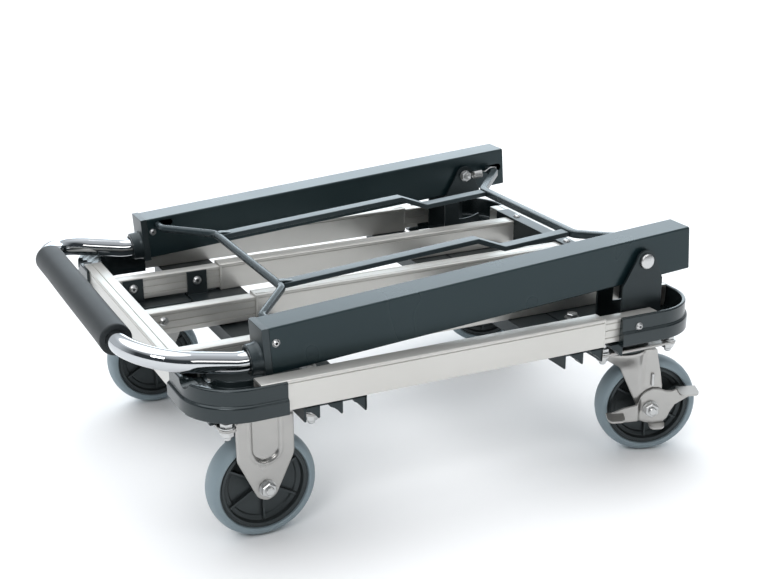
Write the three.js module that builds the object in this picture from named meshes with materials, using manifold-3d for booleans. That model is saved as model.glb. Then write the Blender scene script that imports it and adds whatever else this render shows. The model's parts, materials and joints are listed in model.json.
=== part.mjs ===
// Folding platform cart with an extending deck and a folding, telescoping handle.
// Millimetres, +Z up. +X runs along the deck to the swivel casters, +Y is the cart's left side.
import * as THREE from "three";
import { mergeVertices } from "three/addons/utils/BufferGeometryUtils.js";
import Module from "manifold-3d";

const wasm = await Module();
wasm.setup();
const { Manifold, Mesh: SolidMesh } = wasm;

// ---------------------------------------------------------------- driving dimensions
const GAP = 0.3; // free space between two pieces that touch or slide
const MID_X = 23.1; // deck middle, measured from the middle of the whole footprint

const WHEEL_R = 62.5;
const TYRE_W = 30;
const RIM_R = 51.5;
const HUB_W = 24;
const AXLE_R = 5;

const RAIL = { w: 22, h: 34, wall: 2.5, top: 205 };
RAIL.bottom = RAIL.top - RAIL.h;
const SLIDE = { w: RAIL.w - 2 * RAIL.wall - 2 * GAP, h: RAIL.h - 2 * RAIL.wall - 2 * GAP, wall: 2.5 };
const SIDE_Y = 253;
const CENTRE_Y = 128;

const FRONT_END = -314; // outer face of the front cross tube
const REAR_END = 308; // outer face of the rear cross tube
const SIDE_RAIL_X = [-250, 168.5];
const SIDE_SLIDE_X = [-150, 245];
const CENTRE_RAIL_X = [-156.5, 279];
const CENTRE_SLIDE_X = [FRONT_END + RAIL.w + GAP, 150];
const CROSS_HALF = 195;

const CORNER = { r: 63, bottom: 169, step: 186, top: 204, floor: 196, arm: 101, reach: 270, ledge: 3 };
const FRONT_CORNER_X = [-320.5, -222];
const REAR_CORNER_X = [314.5, 192];

const MOUNT_TOP = RAIL.bottom - GAP;
const MOUNT_BOTTOM = 150.6;
const SHEET = 2.5; // thickness of the black steel sheet
const FRONT_MOUNT_X = [-293, -204.5];
const REAR_MOUNT_X = [172, 266];
const MOUNT_Y = [96, 222];
const CHANNEL_HALF = 262;
const FRONT_CHANNEL_X = [-203, -131];
const REAR_CHANNEL_X = [117, 170];
const TAB_W = 26;

const FIXED_WHEEL = { x: -230, y: 198 };
const KINGPIN = { x: 238, y: 200 };
const TRAIL = 37;
const SWIVEL_YAW = THREE.MathUtils.degToRad(-18); // swivel casters turned a little, as parked
const CASTER_PLATE = { l: 112, w: 84, t: 3.3 };
const FORK = { gap: 35, t: 3 };

const PIVOT = { x: 239, z: 258.8 };
const TILT = THREE.MathUtils.degToRad(3.97); // slope of the folded handle
const UPRIGHT = { y: 215, w: 38, h: 52, wall: 2, tail: 67, length: 534 };
const CAP = { t: 8, plug: 14, boss: 11, bossR: 16.5 };
const LEG_R = 11.5;
const LEG_DROP = 11.8; // the loop's legs run in the lower half of the uprights
const GRIP = { r: 17.5, half: 150 };
const LOOP = { wall: 1.5, bendR: 63, rise: THREE.MathUtils.degToRad(15), kinkR: 70 };
const RELEASE_U = -453; // release rod's ends, from the pivot along the uprights
const RELEASE_W = 17.5;
const RELEASE_R = 4;
const LOCK_U = 42;
const LOCK_R = 5;
const ROD_SETBACK = { release: 50, lock: -57 };
const LINK = { y: 102, w: 16, t: 6, kinkFrom: -149, kinkTo: -112 };
const RELEASE_TRAVEL = 16;
const BRACKET = { inner: 189, outer: 241.3, t: 3 };
const PIN_R = 5;

// ---------------------------------------------------------------- solid helpers
function toSolid(geometry) {
  const bare = new THREE.BufferGeometry();
  bare.setAttribute("position", geometry.getAttribute("position").clone());
  if (geometry.index) bare.setIndex(geometry.index.clone());
  const merged = mergeVertices(bare, 1e-4);
  const index = Array.from(merged.index.array);
  const kept = [];
  for (let i = 0; i < index.length; i += 3) {
    const [a, b, c] = index.slice(i, i + 3);
    if (a !== b && b !== c && c !== a) kept.push(a, b, c);
  }
  const position = merged.getAttribute("position").array;
  let sum = 0;
  for (let i = 0; i < kept.length; i += 3) {
    const p = kept.slice(i, i + 3).map((k) => new THREE.Vector3().fromArray(position, 3 * k));
    sum += p[0].dot(p[1].cross(p[2]));
  }
  if (sum < 0) {
    for (let i = 0; i < kept.length; i += 3) [kept[i + 1], kept[i + 2]] = [kept[i + 2], kept[i + 1]];
  }
  return new Manifold(
    new SolidMesh({ numProp: 3, vertProperties: new Float32Array(position), triVerts: new Uint32Array(kept) }),
  );
}

function toGeometry(solid) {
  const mesh = solid.getMesh();
  const geometry = new THREE.BufferGeometry();
  geometry.setAttribute("position", new THREE.BufferAttribute(new Float32Array(mesh.vertProperties), 3));
  geometry.setIndex(new THREE.BufferAttribute(new Uint32Array(mesh.triVerts), 1));
  return geometry;
}

const join = (...solids) => solids.reduce((sum, s) => sum.add(s));
const cut = (solid, ...tools) => tools.reduce((left, t) => left.subtract(t), solid);

function box(x, y, z) {
  const [lo, hi] = [x, y, z].map((r) => [Math.min(...r), Math.max(...r)]).reduce(
    (acc, r) => [[...acc[0], r[0]], [...acc[1], r[1]]],
    [[], []],
  );
  const geometry = new THREE.BoxGeometry(hi[0] - lo[0], hi[1] - lo[1], hi[2] - lo[2]);
  geometry.translate((hi[0] + lo[0]) / 2, (hi[1] + lo[1]) / 2, (hi[2] + lo[2]) / 2);
  return toSolid(geometry);
}

// A flat plate standing in the XZ plane, from y[0] to y[1].
function plateXZ(shape, y, curveSegments = 8) {
  const geometry = new THREE.ExtrudeGeometry(shape, { depth: y[1] - y[0], bevelEnabled: false, curveSegments });
  geometry.rotateX(Math.PI / 2);
  geometry.translate(0, y[1], 0);
  return toSolid(geometry);
}

// A flat plate lying in the XY plane, from z[0] to z[1].
function plateXY(shape, z, curveSegments = 8) {
  const geometry = new THREE.ExtrudeGeometry(shape, { depth: z[1] - z[0], bevelEnabled: false, curveSegments });
  geometry.translate(0, 0, z[0]);
  return toSolid(geometry);
}

// A body turned about the Y axis through (x, z): profile points are [radius, y].
function turned(profile, x, z, segments) {
  const points = [...profile, profile[0]].map(([r, y]) => new THREE.Vector2(r, y));
  const geometry = new THREE.LatheGeometry(points, segments);
  geometry.translate(x, 0, z);
  return toSolid(geometry);
}

function pinY(x, z, r, y, segments = 20) {
  const geometry = new THREE.CylinderGeometry(r, r, y[1] - y[0], segments);
  geometry.translate(x, (y[0] + y[1]) / 2, z);
  return toSolid(geometry);
}

function discZ(x, y, r, z, segments = 24) {
  const geometry = new THREE.CylinderGeometry(r, r, z[1] - z[0], segments);
  geometry.rotateX(Math.PI / 2);
  geometry.translate(x, y, (z[0] + z[1]) / 2);
  return toSolid(geometry);
}

// A path with its own stations: one at each end, and a few round every bend.
class StationPath extends THREE.Curve {
  constructor(corners, radii, stationsPerBend) {
    super();
    this.points = [corners[0].clone()];
    this.tangents = [corners[1].clone().sub(corners[0]).normalize()];
    for (let i = 1; i < corners.length - 1; i += 1) {
      const into = corners[i].clone().sub(corners[i - 1]).normalize();
      const out = corners[i + 1].clone().sub(corners[i]).normalize();
      const turn = into.angleTo(out);
      const side = out.clone().addScaledVector(into, -into.dot(out)).normalize();
      const r = radii[i - 1];
      const start = corners[i].clone().addScaledVector(into, -r * Math.tan(turn / 2));
      for (let k = 0; k <= stationsPerBend; k += 1) {
        const a = (k / stationsPerBend) * turn;
        const point = start.clone().addScaledVector(into, r * Math.sin(a));
        point.addScaledVector(side, r * (1 - Math.cos(a)));
        this.points.push(point);
        this.tangents.push(into.clone().multiplyScalar(Math.cos(a)).addScaledVector(side, Math.sin(a)));
      }
    }
    this.points.push(corners.at(-1).clone());
    this.tangents.push(corners.at(-1).clone().sub(corners.at(-2)).normalize());
    this.steps = this.points.length - 1;
  }

  getPointAt(t) {
    return this.points[Math.round(t * this.steps)].clone();
  }

  getTangentAt(t) {
    return this.tangents[Math.round(t * this.steps)].clone();
  }
}

// A round bar swept along a station path.
function bar(path, r, facets) {
  const circle = new THREE.Shape().absarc(0, 0, r, 0, 2 * Math.PI);
  const settings = { extrudePath: path, steps: path.steps, curveSegments: facets };
  return toSolid(new THREE.ExtrudeGeometry(circle, settings));
}

function polygon(points) {
  return new THREE.Shape(points.map(([a, b]) => new THREE.Vector2(a, b)));
}

// ---------------------------------------------------------------- finished pieces
const group = new THREE.Group();
group.name = "folding_platform_cart";

const FINISH = {
  anodised: { color: 0xcfcfca, roughness: 0.38, metalness: 0.85 },
  blackSteel: { color: 0x343c3e, roughness: 0.5, metalness: 0.3 },
  blackPlastic: { color: 0x262c2e, roughness: 0.6, metalness: 0.0 },
  blackUpright: { color: 0x3b4547, roughness: 0.45, metalness: 0.3 },
  chrome: { color: 0xd9dde0, roughness: 0.08, metalness: 1.0 },
  zinc: { color: 0xbfbdb4, roughness: 0.32, metalness: 0.9 },
  darkSteel: { color: 0x5a6266, roughness: 0.45, metalness: 0.6 },
  tyre: { color: 0x8e9ea8, roughness: 0.7, metalness: 0.0 },
  hub: { color: 0x1d2022, roughness: 0.55, metalness: 0.0 },
  foam: { color: 0x555f64, roughness: 0.95, metalness: 0.0 },
};

const SWIVELLED = (side) => (geometry) => {
  geometry.translate(-KINGPIN.x, -side * KINGPIN.y, 0);
  geometry.rotateZ(SWIVEL_YAW);
  geometry.translate(KINGPIN.x, side * KINGPIN.y, 0);
};

// Handle pieces are drawn level, with the pivot at the origin, and laid onto the slope.
function ONTO_SLOPE(geometry) {
  geometry.rotateY(-TILT);
  geometry.translate(PIVOT.x, 0, PIVOT.z);
}

function add(name, solid, finish, place = null) {
  const geometry = toGeometry(solid);
  if (place) place(geometry);
  geometry.translate(MID_X, 0, 0);
  const mesh = new THREE.Mesh(geometry, new THREE.MeshStandardMaterial(FINISH[finish]));
  mesh.name = name;
  group.add(mesh);
}

const SIDES = [["left", 1], ["right", -1]];

// Rectangular tube along X.
function tubeX(x, y, size, top) {
  const half = size.w / 2;
  const outer = box(x, [y - half, y + half], [top - size.h, top]);
  const bore = box(
    [x[0] - 1, x[1] + 1],
    [y - half + size.wall, y + half - size.wall],
    [top - size.h + size.wall, top - size.wall],
  );
  return cut(outer, bore);
}

// ---------------------------------------------------------------- deck rails
const slideTop = RAIL.top - RAIL.wall - GAP;

for (const [side, s] of SIDES) {
  add(`side_rail_${side}`, tubeX(SIDE_RAIL_X, s * SIDE_Y, RAIL, RAIL.top), "anodised");
  add(`side_slide_${side}`, tubeX(SIDE_SLIDE_X, s * SIDE_Y, SLIDE, slideTop), "anodised");
}
for (const [place, y] of [["left", CENTRE_Y], ["middle", 0], ["right", -CENTRE_Y]]) {
  add(`centre_rail_${place}`, tubeX(CENTRE_RAIL_X, y, RAIL, RAIL.top), "anodised");
  add(`centre_slide_${place}`, tubeX(CENTRE_SLIDE_X, y, SLIDE, slideTop), "anodised");
}

function crossTube(outerFace, inward) {
  const inner = outerFace + inward * RAIL.w;
  const outer = box([outerFace, inner], [-CROSS_HALF, CROSS_HALF], [RAIL.bottom, RAIL.top]);
  const bore = box(
    [outerFace + inward * RAIL.wall, inner - inward * RAIL.wall],
    [-CROSS_HALF - 1, CROSS_HALF + 1],
    [RAIL.bottom + RAIL.wall, RAIL.top - RAIL.wall],
  );
  return cut(outer, bore);
}
add("front_cross_tube", crossTube(FRONT_END, 1), "anodised");
add("rear_cross_tube", crossTube(REAR_END, -1), "anodised");

// ---------------------------------------------------------------- corner mouldings
// Plan of a corner: outer rounded corner, two arms along the tubes. grow < 0 draws it smaller.
function cornerPlan(x, s, inset, armDepthX, armDepthY, fillet) {
  const inward = Math.sign(x[1] - x[0]);
  const outerX = x[0] + inward * inset;
  const outerY = CORNER.reach - inset;
  const r = CORNER.r - inset;
  const innerX = x[0] + inward * armDepthX;
  const innerY = CORNER.reach - armDepthY;
  const endY = CORNER.reach - CORNER.arm;
  const shape = new THREE.Shape();
  shape.moveTo(x[1], s * outerY);
  shape.lineTo(outerX + inward * r, s * outerY);
  const steps = 10;
  for (let i = 1; i <= steps; i += 1) {
    const a = (i / steps) * (Math.PI / 2);
    shape.lineTo(outerX + inward * r * (1 - Math.sin(a)), s * (outerY - r * (1 - Math.cos(a))));
  }
  shape.lineTo(outerX, s * endY);
  shape.lineTo(innerX, s * endY);
  shape.lineTo(innerX, s * (innerY - fillet));
  shape.lineTo(innerX + inward * fillet * 0.3, s * (innerY - fillet * 0.3));
  shape.lineTo(innerX + inward * fillet, s * innerY);
  shape.lineTo(x[1], s * innerY);
  shape.closePath();
  return shape;
}

function cornerMoulding(x, s, tubeFace, rail, { armDepthY, innerWall, fillet }, mountX) {
  const inward = Math.sign(x[1] - x[0]);
  const armDepthX = Math.abs(tubeFace - x[0]) + RAIL.w + innerWall;
  const skirt = plateXY(cornerPlan(x, s, 0, armDepthX, armDepthY, fillet), [CORNER.bottom, CORNER.step]);
  const upper = plateXY(cornerPlan(x, s, CORNER.ledge, armDepthX, armDepthY, fillet), [CORNER.step, CORNER.top]);
  const dishPlan = cornerPlan(x, s, CORNER.ledge + 5, armDepthX - 3, armDepthY - 2.4, fillet);
  const dish = plateXY(dishPlan, [CORNER.floor, 220]);
  const endY = CORNER.reach - CORNER.arm;
  const tubePocket = box(
    [tubeFace - inward * GAP, tubeFace + inward * (RAIL.w + GAP)],
    [s * (endY - 1), s * (CROSS_HALF + GAP)],
    [RAIL.bottom - GAP, 220],
  );
  const railEnd = rail.end - inward * GAP;
  const railPocket = box(
    [railEnd, x[1] + inward],
    [s * (SIDE_Y - rail.w / 2 - GAP), s * (SIDE_Y + rail.w / 2 + GAP)],
    [rail.bottom - GAP, 220],
  );
  const mountSeat = box(
    [mountX[0] - GAP, mountX[1] + GAP],
    [0, s * (MOUNT_Y[1] + GAP)],
    [CORNER.bottom - 1, MOUNT_TOP + GAP],
  );
  return cut(join(skirt, upper), dish, tubePocket, railPocket, mountSeat);
}

// Where a leg of the loop lies over the front mouldings when the handle is drawn out.
function legSaddle(s) {
  const span = 240;
  const geometry = new THREE.CylinderGeometry(LEG_R + 1.2, LEG_R + 1.2, span, 24);
  geometry.rotateZ(Math.PI / 2);
  geometry.translate(UPRIGHT.tail - UPRIGHT.length - CAP.t - span / 2, s * UPRIGHT.y, -LEG_DROP);
  ONTO_SLOPE(geometry);
  return toSolid(geometry);
}

for (const [side, s] of SIDES) {
  const outerRail = { end: SIDE_RAIL_X[0], w: RAIL.w, bottom: RAIL.bottom };
  const frontInside = { armDepthY: 33, innerWall: 3, fillet: 22 };
  const frontSeat = [FRONT_MOUNT_X[0], FRONT_CHANNEL_X[1]];
  const front = cornerMoulding(FRONT_CORNER_X, s, FRONT_END, outerRail, frontInside, frontSeat);
  add(`front_corner_${side}`, cut(front, legSaddle(s)), "blackPlastic");
  const innerRail = { end: SIDE_SLIDE_X[1], w: SLIDE.w, bottom: slideTop - SLIDE.h };
  // The rear fillet is small, to stay clear of the upright's tail as it swings down.
  const rearInside = { armDepthY: 28, innerWall: 0, fillet: 6 };
  const rear = cornerMoulding(REAR_CORNER_X, s, REAR_END, innerRail, rearInside, REAR_MOUNT_X);
  add(`rear_corner_${side}`, rear, "blackPlastic");
}

// ---------------------------------------------------------------- black steel under the rails
// An inverted channel across the deck.
function channel(x) {
  const [x0, x1] = x;
  const bottom = MOUNT_TOP - 17.5;
  const outer = box(x, [-CHANNEL_HALF, CHANNEL_HALF], [bottom, MOUNT_TOP]);
  const hollow = box([x0 + SHEET, x1 - SHEET], [-300, 300], [bottom - 1, MOUNT_TOP - SHEET]);
  return cut(outer, hollow);
}

// A tab turned up against the side of a centre slide.
function slideTab(x0, y, s) {
  const face = y + s * (SLIDE.w / 2 + GAP);
  return box([x0, x0 + TAB_W], [face, face + s * SHEET], [MOUNT_TOP - SHEET, slideTop - 1]);
}

add(
  "front_channel",
  join(
    channel(FRONT_CHANNEL_X),
    slideTab(FRONT_CHANNEL_X[0], CENTRE_Y, -1),
    slideTab(FRONT_CHANNEL_X[0], 0, 1),
    slideTab(FRONT_CHANNEL_X[0], -CENTRE_Y, 1),
  ),
  "blackSteel",
);
add("rear_channel", channel(REAR_CHANNEL_X), "blackSteel");

// A flat box section, closed at its outer end, that carries one caster.
function casterMount(x, s) {
  const [y0, y1] = MOUNT_Y.map((y) => s * y);
  const outer = box(x, [y0, y1], [MOUNT_BOTTOM, MOUNT_TOP]);
  const hollow = box(
    [x[0] + SHEET, x[1] - SHEET],
    [y0 - s, y1 - s * SHEET],
    [MOUNT_BOTTOM + SHEET, MOUNT_TOP - SHEET],
  );
  return cut(outer, hollow);
}

for (const [side, s] of SIDES) {
  const front = join(
    casterMount(FRONT_MOUNT_X, s),
    slideTab(FRONT_MOUNT_X[0] + 7, s * CENTRE_Y, -s),
  );
  add(`front_caster_mount_${side}`, front, "blackSteel");
  add(`rear_caster_mount_${side}`, casterMount(REAR_MOUNT_X, s), "blackSteel");
}

// Z-shaped strip that closes the ends of the centre rails and laps over the rear cross tube.
{
  const face = CENTRE_RAIL_X[1] + GAP;
  const lapTop = RAIL.top + GAP + 2.5;
  const half = CROSS_HALF - 30;
  const web = box([face, face + SHEET], [-half, half], [RAIL.bottom, lapTop]);
  const lap = box([face, REAR_END - 9], [-half, half], [RAIL.top + GAP, lapTop]);
  add("rear_end_strip", join(web, lap), "blackSteel");
}

// ---------------------------------------------------------------- wheels
const axleZ = WHEEL_R;

function tyre(x, y) {
  const half = TYRE_W / 2;
  const profile = [[RIM_R + GAP, y - half]];
  const shoulder = 6;
  profile.push([WHEEL_R - shoulder, y - half]);
  for (const a of [30, 60]) {
    const t = THREE.MathUtils.degToRad(a);
    profile.push([WHEEL_R - shoulder * (1 - Math.sin(t)), y - half + shoulder * (1 - Math.cos(t))]);
  }
  profile.push([WHEEL_R, y - half + shoulder], [WHEEL_R, y + half - shoulder]);
  for (const a of [60, 30]) {
    const t = THREE.MathUtils.degToRad(a);
    profile.push([WHEEL_R - shoulder * (1 - Math.sin(t)), y + half - shoulder * (1 - Math.cos(t))]);
  }
  profile.push([WHEEL_R - shoulder, y + half], [RIM_R + GAP, y + half]);
  return turned(profile, x, axleZ, 44);
}

// A moulded wheel centre: rim, web, boss and six ribs.
function hub(x, y) {
  const boss = FORK.gap / 2 - 0.6;
  const rim = HUB_W / 2;
  const profile = [
    [AXLE_R + GAP, y - boss],
    [13, y - boss],
    [15, y - 3],
    [44, y - 3],
    [45, y - rim],
    [RIM_R, y - rim],
    [RIM_R, y + rim],
    [45, y + rim],
    [44, y + 3],
    [15, y + 3],
    [13, y + boss],
    [AXLE_R + GAP, y + boss],
  ];
  const body = turned(profile, x, axleZ, 32);
  const ribs = [];
  for (const angle of [0, 60, 120]) {
    const geometry = new THREE.BoxGeometry(90, 16, 3);
    geometry.rotateY(THREE.MathUtils.degToRad(angle + 30));
    geometry.translate(x, y, axleZ);
    ribs.push(toSolid(geometry));
  }
  return cut(join(body, ...ribs), pinY(x, axleZ, AXLE_R + GAP, [y - 30, y + 30], 32));
}

// Threaded axle with a head on one end and a nut on the other.
function axle(x, y, reach) {
  const face = FORK.gap / 2 + FORK.t + reach;
  return join(
    pinY(x, axleZ, AXLE_R, [y - face - 3, y + face + 3], 16),
    pinY(x, axleZ, 9.2, [y - face, y - face + 7], 6),
    pinY(x, axleZ, 9.2, [y + face - 7, y + face], 6),
  );
}

function casterPlate(x, y) {
  const z = [MOUNT_BOTTOM - GAP - CASTER_PLATE.t, MOUNT_BOTTOM - GAP];
  return box([x - CASTER_PLATE.l / 2, x + CASTER_PLATE.l / 2], [y - CASTER_PLATE.w / 2, y + CASTER_PLATE.w / 2], z);
}
const plateBottom = MOUNT_BOTTOM - GAP - CASTER_PLATE.t;

// One pair of fork legs, cut by the axle's hole.
function forkLegs(outline, x, y) {
  const inner = FORK.gap / 2;
  const legs = [y + inner, y - inner - FORK.t].map((face) => plateXZ(outline, [face, face + FORK.t]));
  return cut(join(...legs), pinY(x, axleZ, AXLE_R + GAP, [y - 40, y + 40], 24));
}

function roundEnd(shape, x, z, r, fromDeg, toDeg) {
  const [a, b] = [fromDeg, toDeg].map((d) => THREE.MathUtils.degToRad(d));
  shape.absarc(x, z, r, a, b, toDeg < fromDeg);
}

for (const [side, s] of SIDES) {
  const { x } = FIXED_WHEEL;
  const y = s * FIXED_WHEEL.y;
  const leg = new THREE.Shape();
  leg.moveTo(x - 33, plateBottom);
  leg.lineTo(x + 33, plateBottom);
  leg.lineTo(x + 33, 100);
  roundEnd(leg, x, axleZ, 14, 12, -192);
  leg.lineTo(x - 33, 100);
  leg.closePath();
  add(`fixed_fork_${side}`, join(casterPlate(x, y), forkLegs(leg, x, y)), "zinc");
  add(`front_axle_${side}`, axle(x, y, 7.5), "zinc");
  add(`front_tyre_${side}`, tyre(x, y), "tyre");
  add(`front_hub_${side}`, hub(x, y), "hub");
}

const crown = { top: 139, t: FORK.t, back: -64, front: 5, raceR: 32, pinR: 6 };
for (const [side, s] of SIDES) {
  const kx = KINGPIN.x;
  const ky = s * KINGPIN.y;
  const wx = kx + TRAIL;
  const turn = SWIVELLED(side === "left" ? 1 : -1);

  const plate = join(
    casterPlate(kx, ky),
    discZ(kx, ky, crown.raceR, [crown.top + 1, plateBottom]),
    discZ(kx, ky, crown.pinR, [crown.top - crown.t - 6, crown.top + 2]),
    discZ(kx, ky, 10, [crown.top - crown.t - 6, crown.top - crown.t - 0.6]),
  );
  add(`swivel_plate_${side}`, plate, "zinc");

  const leg = new THREE.Shape();
  leg.moveTo(wx + crown.back, crown.top);
  leg.lineTo(wx + crown.front, crown.top);
  leg.lineTo(wx + 14, 92);
  roundEnd(leg, wx, axleZ, 15, 12, -200);
  leg.lineTo(wx - 38, 112);
  leg.lineTo(wx + crown.back, 129);
  leg.closePath();
  const half = FORK.gap / 2 + FORK.t;
  const top = cut(
    join(
      box([wx + crown.back, wx + crown.front], [ky - half, ky + half], [crown.top - crown.t, crown.top]),
      discZ(kx, ky, crown.raceR + 1, [crown.top - crown.t, crown.top]),
    ),
    discZ(kx, ky, crown.pinR + GAP, [crown.top - 10, crown.top + 10]),
  );
  add(`swivel_fork_${side}`, join(top, forkLegs(leg, wx, ky)), "zinc", turn);
  add(`rear_axle_${side}`, axle(wx, ky, 12), "zinc", turn);
  add(`rear_tyre_${side}`, tyre(wx, ky), "tyre", turn);
  add(`rear_hub_${side}`, hub(wx, ky), "hub", turn);

  // Rocking brake lever outside the fork, with a pad at each end.
  const faceY = FORK.gap / 2 + FORK.t + 0.4;
  const lever = polygon(
    [
      [-10, 22], [8, 27], [44, 26], [54, 16], [33, 5], [24, -8], [20, -16], [20, -25],
      [-1, -25], [-1, -19], [-16, -14], [-46, -15], [-56, -4], [-36, 6], [-18, 9],
    ].map(([x, z]) => [wx + x, axleZ + z]),
  );
  const sheet = ([a, b]) => (s > 0 ? [ky + a, ky + b] : [ky - b, ky - a]);
  const web = cut(
    plateXZ(lever, sheet([faceY, faceY + 2.5])),
    pinY(wx, axleZ, AXLE_R + GAP, [ky - 60, ky + 60], 24),
  );
  const pads = [
    box([wx + 30, wx + 54], sheet([faceY, faceY + 20]), [axleZ + 24, axleZ + 27]),
    box([wx - 58, wx - 34], sheet([faceY, faceY + 21]), [axleZ - 6, axleZ - 3]),
    box([wx - 1, wx + 20], sheet([faceY, faceY + 9]), [axleZ - 28, axleZ - 25]),
  ];
  add(`brake_lever_${side}`, join(web, ...pads), "zinc", turn);
}

// ---------------------------------------------------------------- handle pivot brackets
for (const [side, s] of SIDES) {
  const { x: px, z: pz } = PIVOT;
  const cheek = new THREE.Shape();
  cheek.moveTo(px - 31, MOUNT_TOP + GAP);
  cheek.lineTo(px + 25, MOUNT_TOP + GAP);
  cheek.lineTo(px + 25, pz - 24);
  roundEnd(cheek, px, pz, 13, 15, 165);
  cheek.lineTo(px - 31, pz - 28);
  cheek.closePath();
  const sheet = ([a, b]) => (s > 0 ? [a, b] : [-b, -a]);
  const outer = plateXZ(cheek, sheet([BRACKET.outer - BRACKET.t, BRACKET.outer]));
  // The inner cheek is cut back so that the lock bar can swing under the pivot.
  const swing = cut(
    pinY(px, pz, LOCK_U + RELEASE_TRAVEL + LOCK_R + 1, sheet([180, 200]), 48),
    pinY(px, pz, LOCK_U - LOCK_R - 1, sheet([179, 201]), 48),
    box([px - 100, px - LOCK_R - 3], sheet([179, 201]), [pz - 100, pz + 100]),
  );
  const inner = cut(plateXZ(cheek, sheet([BRACKET.inner, BRACKET.inner + BRACKET.t])), swing);
  const base = box([px - 31, px + 25], sheet([BRACKET.inner, BRACKET.outer]), [MOUNT_TOP + GAP, MOUNT_TOP + GAP + 3]);
  const bore = pinY(px, pz, PIN_R + GAP, sheet([150, 260]), 24);
  add(`pivot_bracket_${side}`, cut(join(outer, inner, base), bore), "blackSteel");

  const pin = join(
    pinY(px, pz, PIN_R, sheet([BRACKET.inner - 9, BRACKET.outer + 2]), 24),
    pinY(px, pz, 9, sheet([BRACKET.outer + GAP, BRACKET.outer + 4]), 24),
    pinY(px, pz, 8.5, sheet([BRACKET.inner - 7, BRACKET.inner - GAP]), 6),
  );
  add(`pivot_pin_${side}`, pin, "zinc");
}

// ---------------------------------------------------------------- handle
const uprightStart = UPRIGHT.tail - UPRIGHT.length;

function slotXZ(u0, u1, w, r, y) {
  const slot = new THREE.Shape();
  slot.absarc(u1, w, r, -Math.PI / 2, Math.PI / 2, false);
  slot.absarc(u0, w, r, Math.PI / 2, (3 * Math.PI) / 2, false);
  slot.closePath();
  return plateXZ(slot, y, 6);
}

for (const [side, s] of SIDES) {
  const half = UPRIGHT.w / 2;
  const y = s * UPRIGHT.y;
  const sheet = ([a, b]) => (s > 0 ? [a, b] : [-b, -a]);
  const walls = cut(
    box([uprightStart, UPRIGHT.tail], [y - half, y + half], [-UPRIGHT.h / 2, UPRIGHT.h / 2]),
    box(
      [uprightStart - 1, UPRIGHT.tail - UPRIGHT.wall],
      [y - half + UPRIGHT.wall, y + half - UPRIGHT.wall],
      [-UPRIGHT.h / 2 + UPRIGHT.wall, UPRIGHT.h / 2 - UPRIGHT.wall],
    ),
    pinY(0, 0, PIN_R + GAP, sheet([150, 260]), 24),
    slotXZ(RELEASE_U, RELEASE_U + RELEASE_TRAVEL, RELEASE_W, RELEASE_R + 0.5, sheet([180, 205])),
    slotXZ(LOCK_U, LOCK_U + RELEASE_TRAVEL, 0, LOCK_R + 0.5, sheet([180, 205])),
  );
  add(`upright_${side}`, walls, "blackUpright", ONTO_SLOPE);

  const legBore = (() => {
    const geometry = new THREE.CylinderGeometry(LEG_R + GAP, LEG_R + GAP, 120, 24);
    geometry.rotateZ(Math.PI / 2);
    geometry.translate(uprightStart, y, -LEG_DROP);
    return toSolid(geometry);
  })();
  const boss = (() => {
    const geometry = new THREE.CylinderGeometry(CAP.bossR, CAP.bossR, CAP.boss, 24);
    geometry.rotateZ(Math.PI / 2);
    geometry.translate(uprightStart - GAP - CAP.t - CAP.boss / 2 + 0.5, y, -LEG_DROP);
    return toSolid(geometry);
  })();
  const inset = UPRIGHT.wall + GAP;
  const cap = join(
    box(
      [uprightStart - GAP - CAP.t, uprightStart - GAP],
      [y - half - 0.6, y + half + 0.6],
      [-UPRIGHT.h / 2 - 3, UPRIGHT.h / 2 + 0.6],
    ),
    box(
      [uprightStart - GAP - 1, uprightStart + CAP.plug],
      [y - half + inset, y + half - inset],
      [-UPRIGHT.h / 2 + inset, UPRIGHT.h / 2 - inset],
    ),
    boss,
  );
  const rodRoom = box([RELEASE_U - 8, RELEASE_U + 40], sheet([190, 210]), [RELEASE_W - 8, UPRIGHT.h / 2 - inset + 1]);
  add(`upright_cap_${side}`, cut(cap, legBore, rodRoom), "blackPlastic", ONTO_SLOPE);
}

// Chromed loop: two straight legs, a small upward kink, round corners and the crosspiece.
const legTip = -88;
const kinkU = uprightStart - CAP.t - CAP.boss - 11;
const loopReach = 112;
const crossU = kinkU - loopReach * Math.cos(LOOP.rise);
const crossW = -LEG_DROP + loopReach * Math.sin(LOOP.rise);
{
  const at = (u, y, w) => new THREE.Vector3(u, y, w);
  const corners = [
    at(legTip, -UPRIGHT.y, -LEG_DROP),
    at(kinkU, -UPRIGHT.y, -LEG_DROP),
    at(crossU, -UPRIGHT.y, crossW),
    at(crossU, UPRIGHT.y, crossW),
    at(kinkU, UPRIGHT.y, -LEG_DROP),
    at(legTip, UPRIGHT.y, -LEG_DROP),
  ];
  const radii = [LOOP.kinkR, LOOP.bendR, LOOP.bendR, LOOP.kinkR];
  const tube = bar(new StationPath(corners, radii, 7), LEG_R, 10);
  for (const tip of [corners.at(0), corners.at(-1)]) tip.x += 1;
  const bore = bar(new StationPath(corners, radii, 7), LEG_R - LOOP.wall, 10);
  add("handle_loop", cut(tube, bore), "chrome", ONTO_SLOPE);
  const sleeve = cut(
    turned([[0, -GRIP.half], [GRIP.r, -GRIP.half], [GRIP.r, GRIP.half], [0, GRIP.half]], crossU, crossW, 32),
    pinY(crossU, crossW, LEG_R + GAP, [-GRIP.half - 1, GRIP.half + 1], 32),
  );
  add("foam_grip", sleeve, "foam", ONTO_SLOPE);
}

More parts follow.
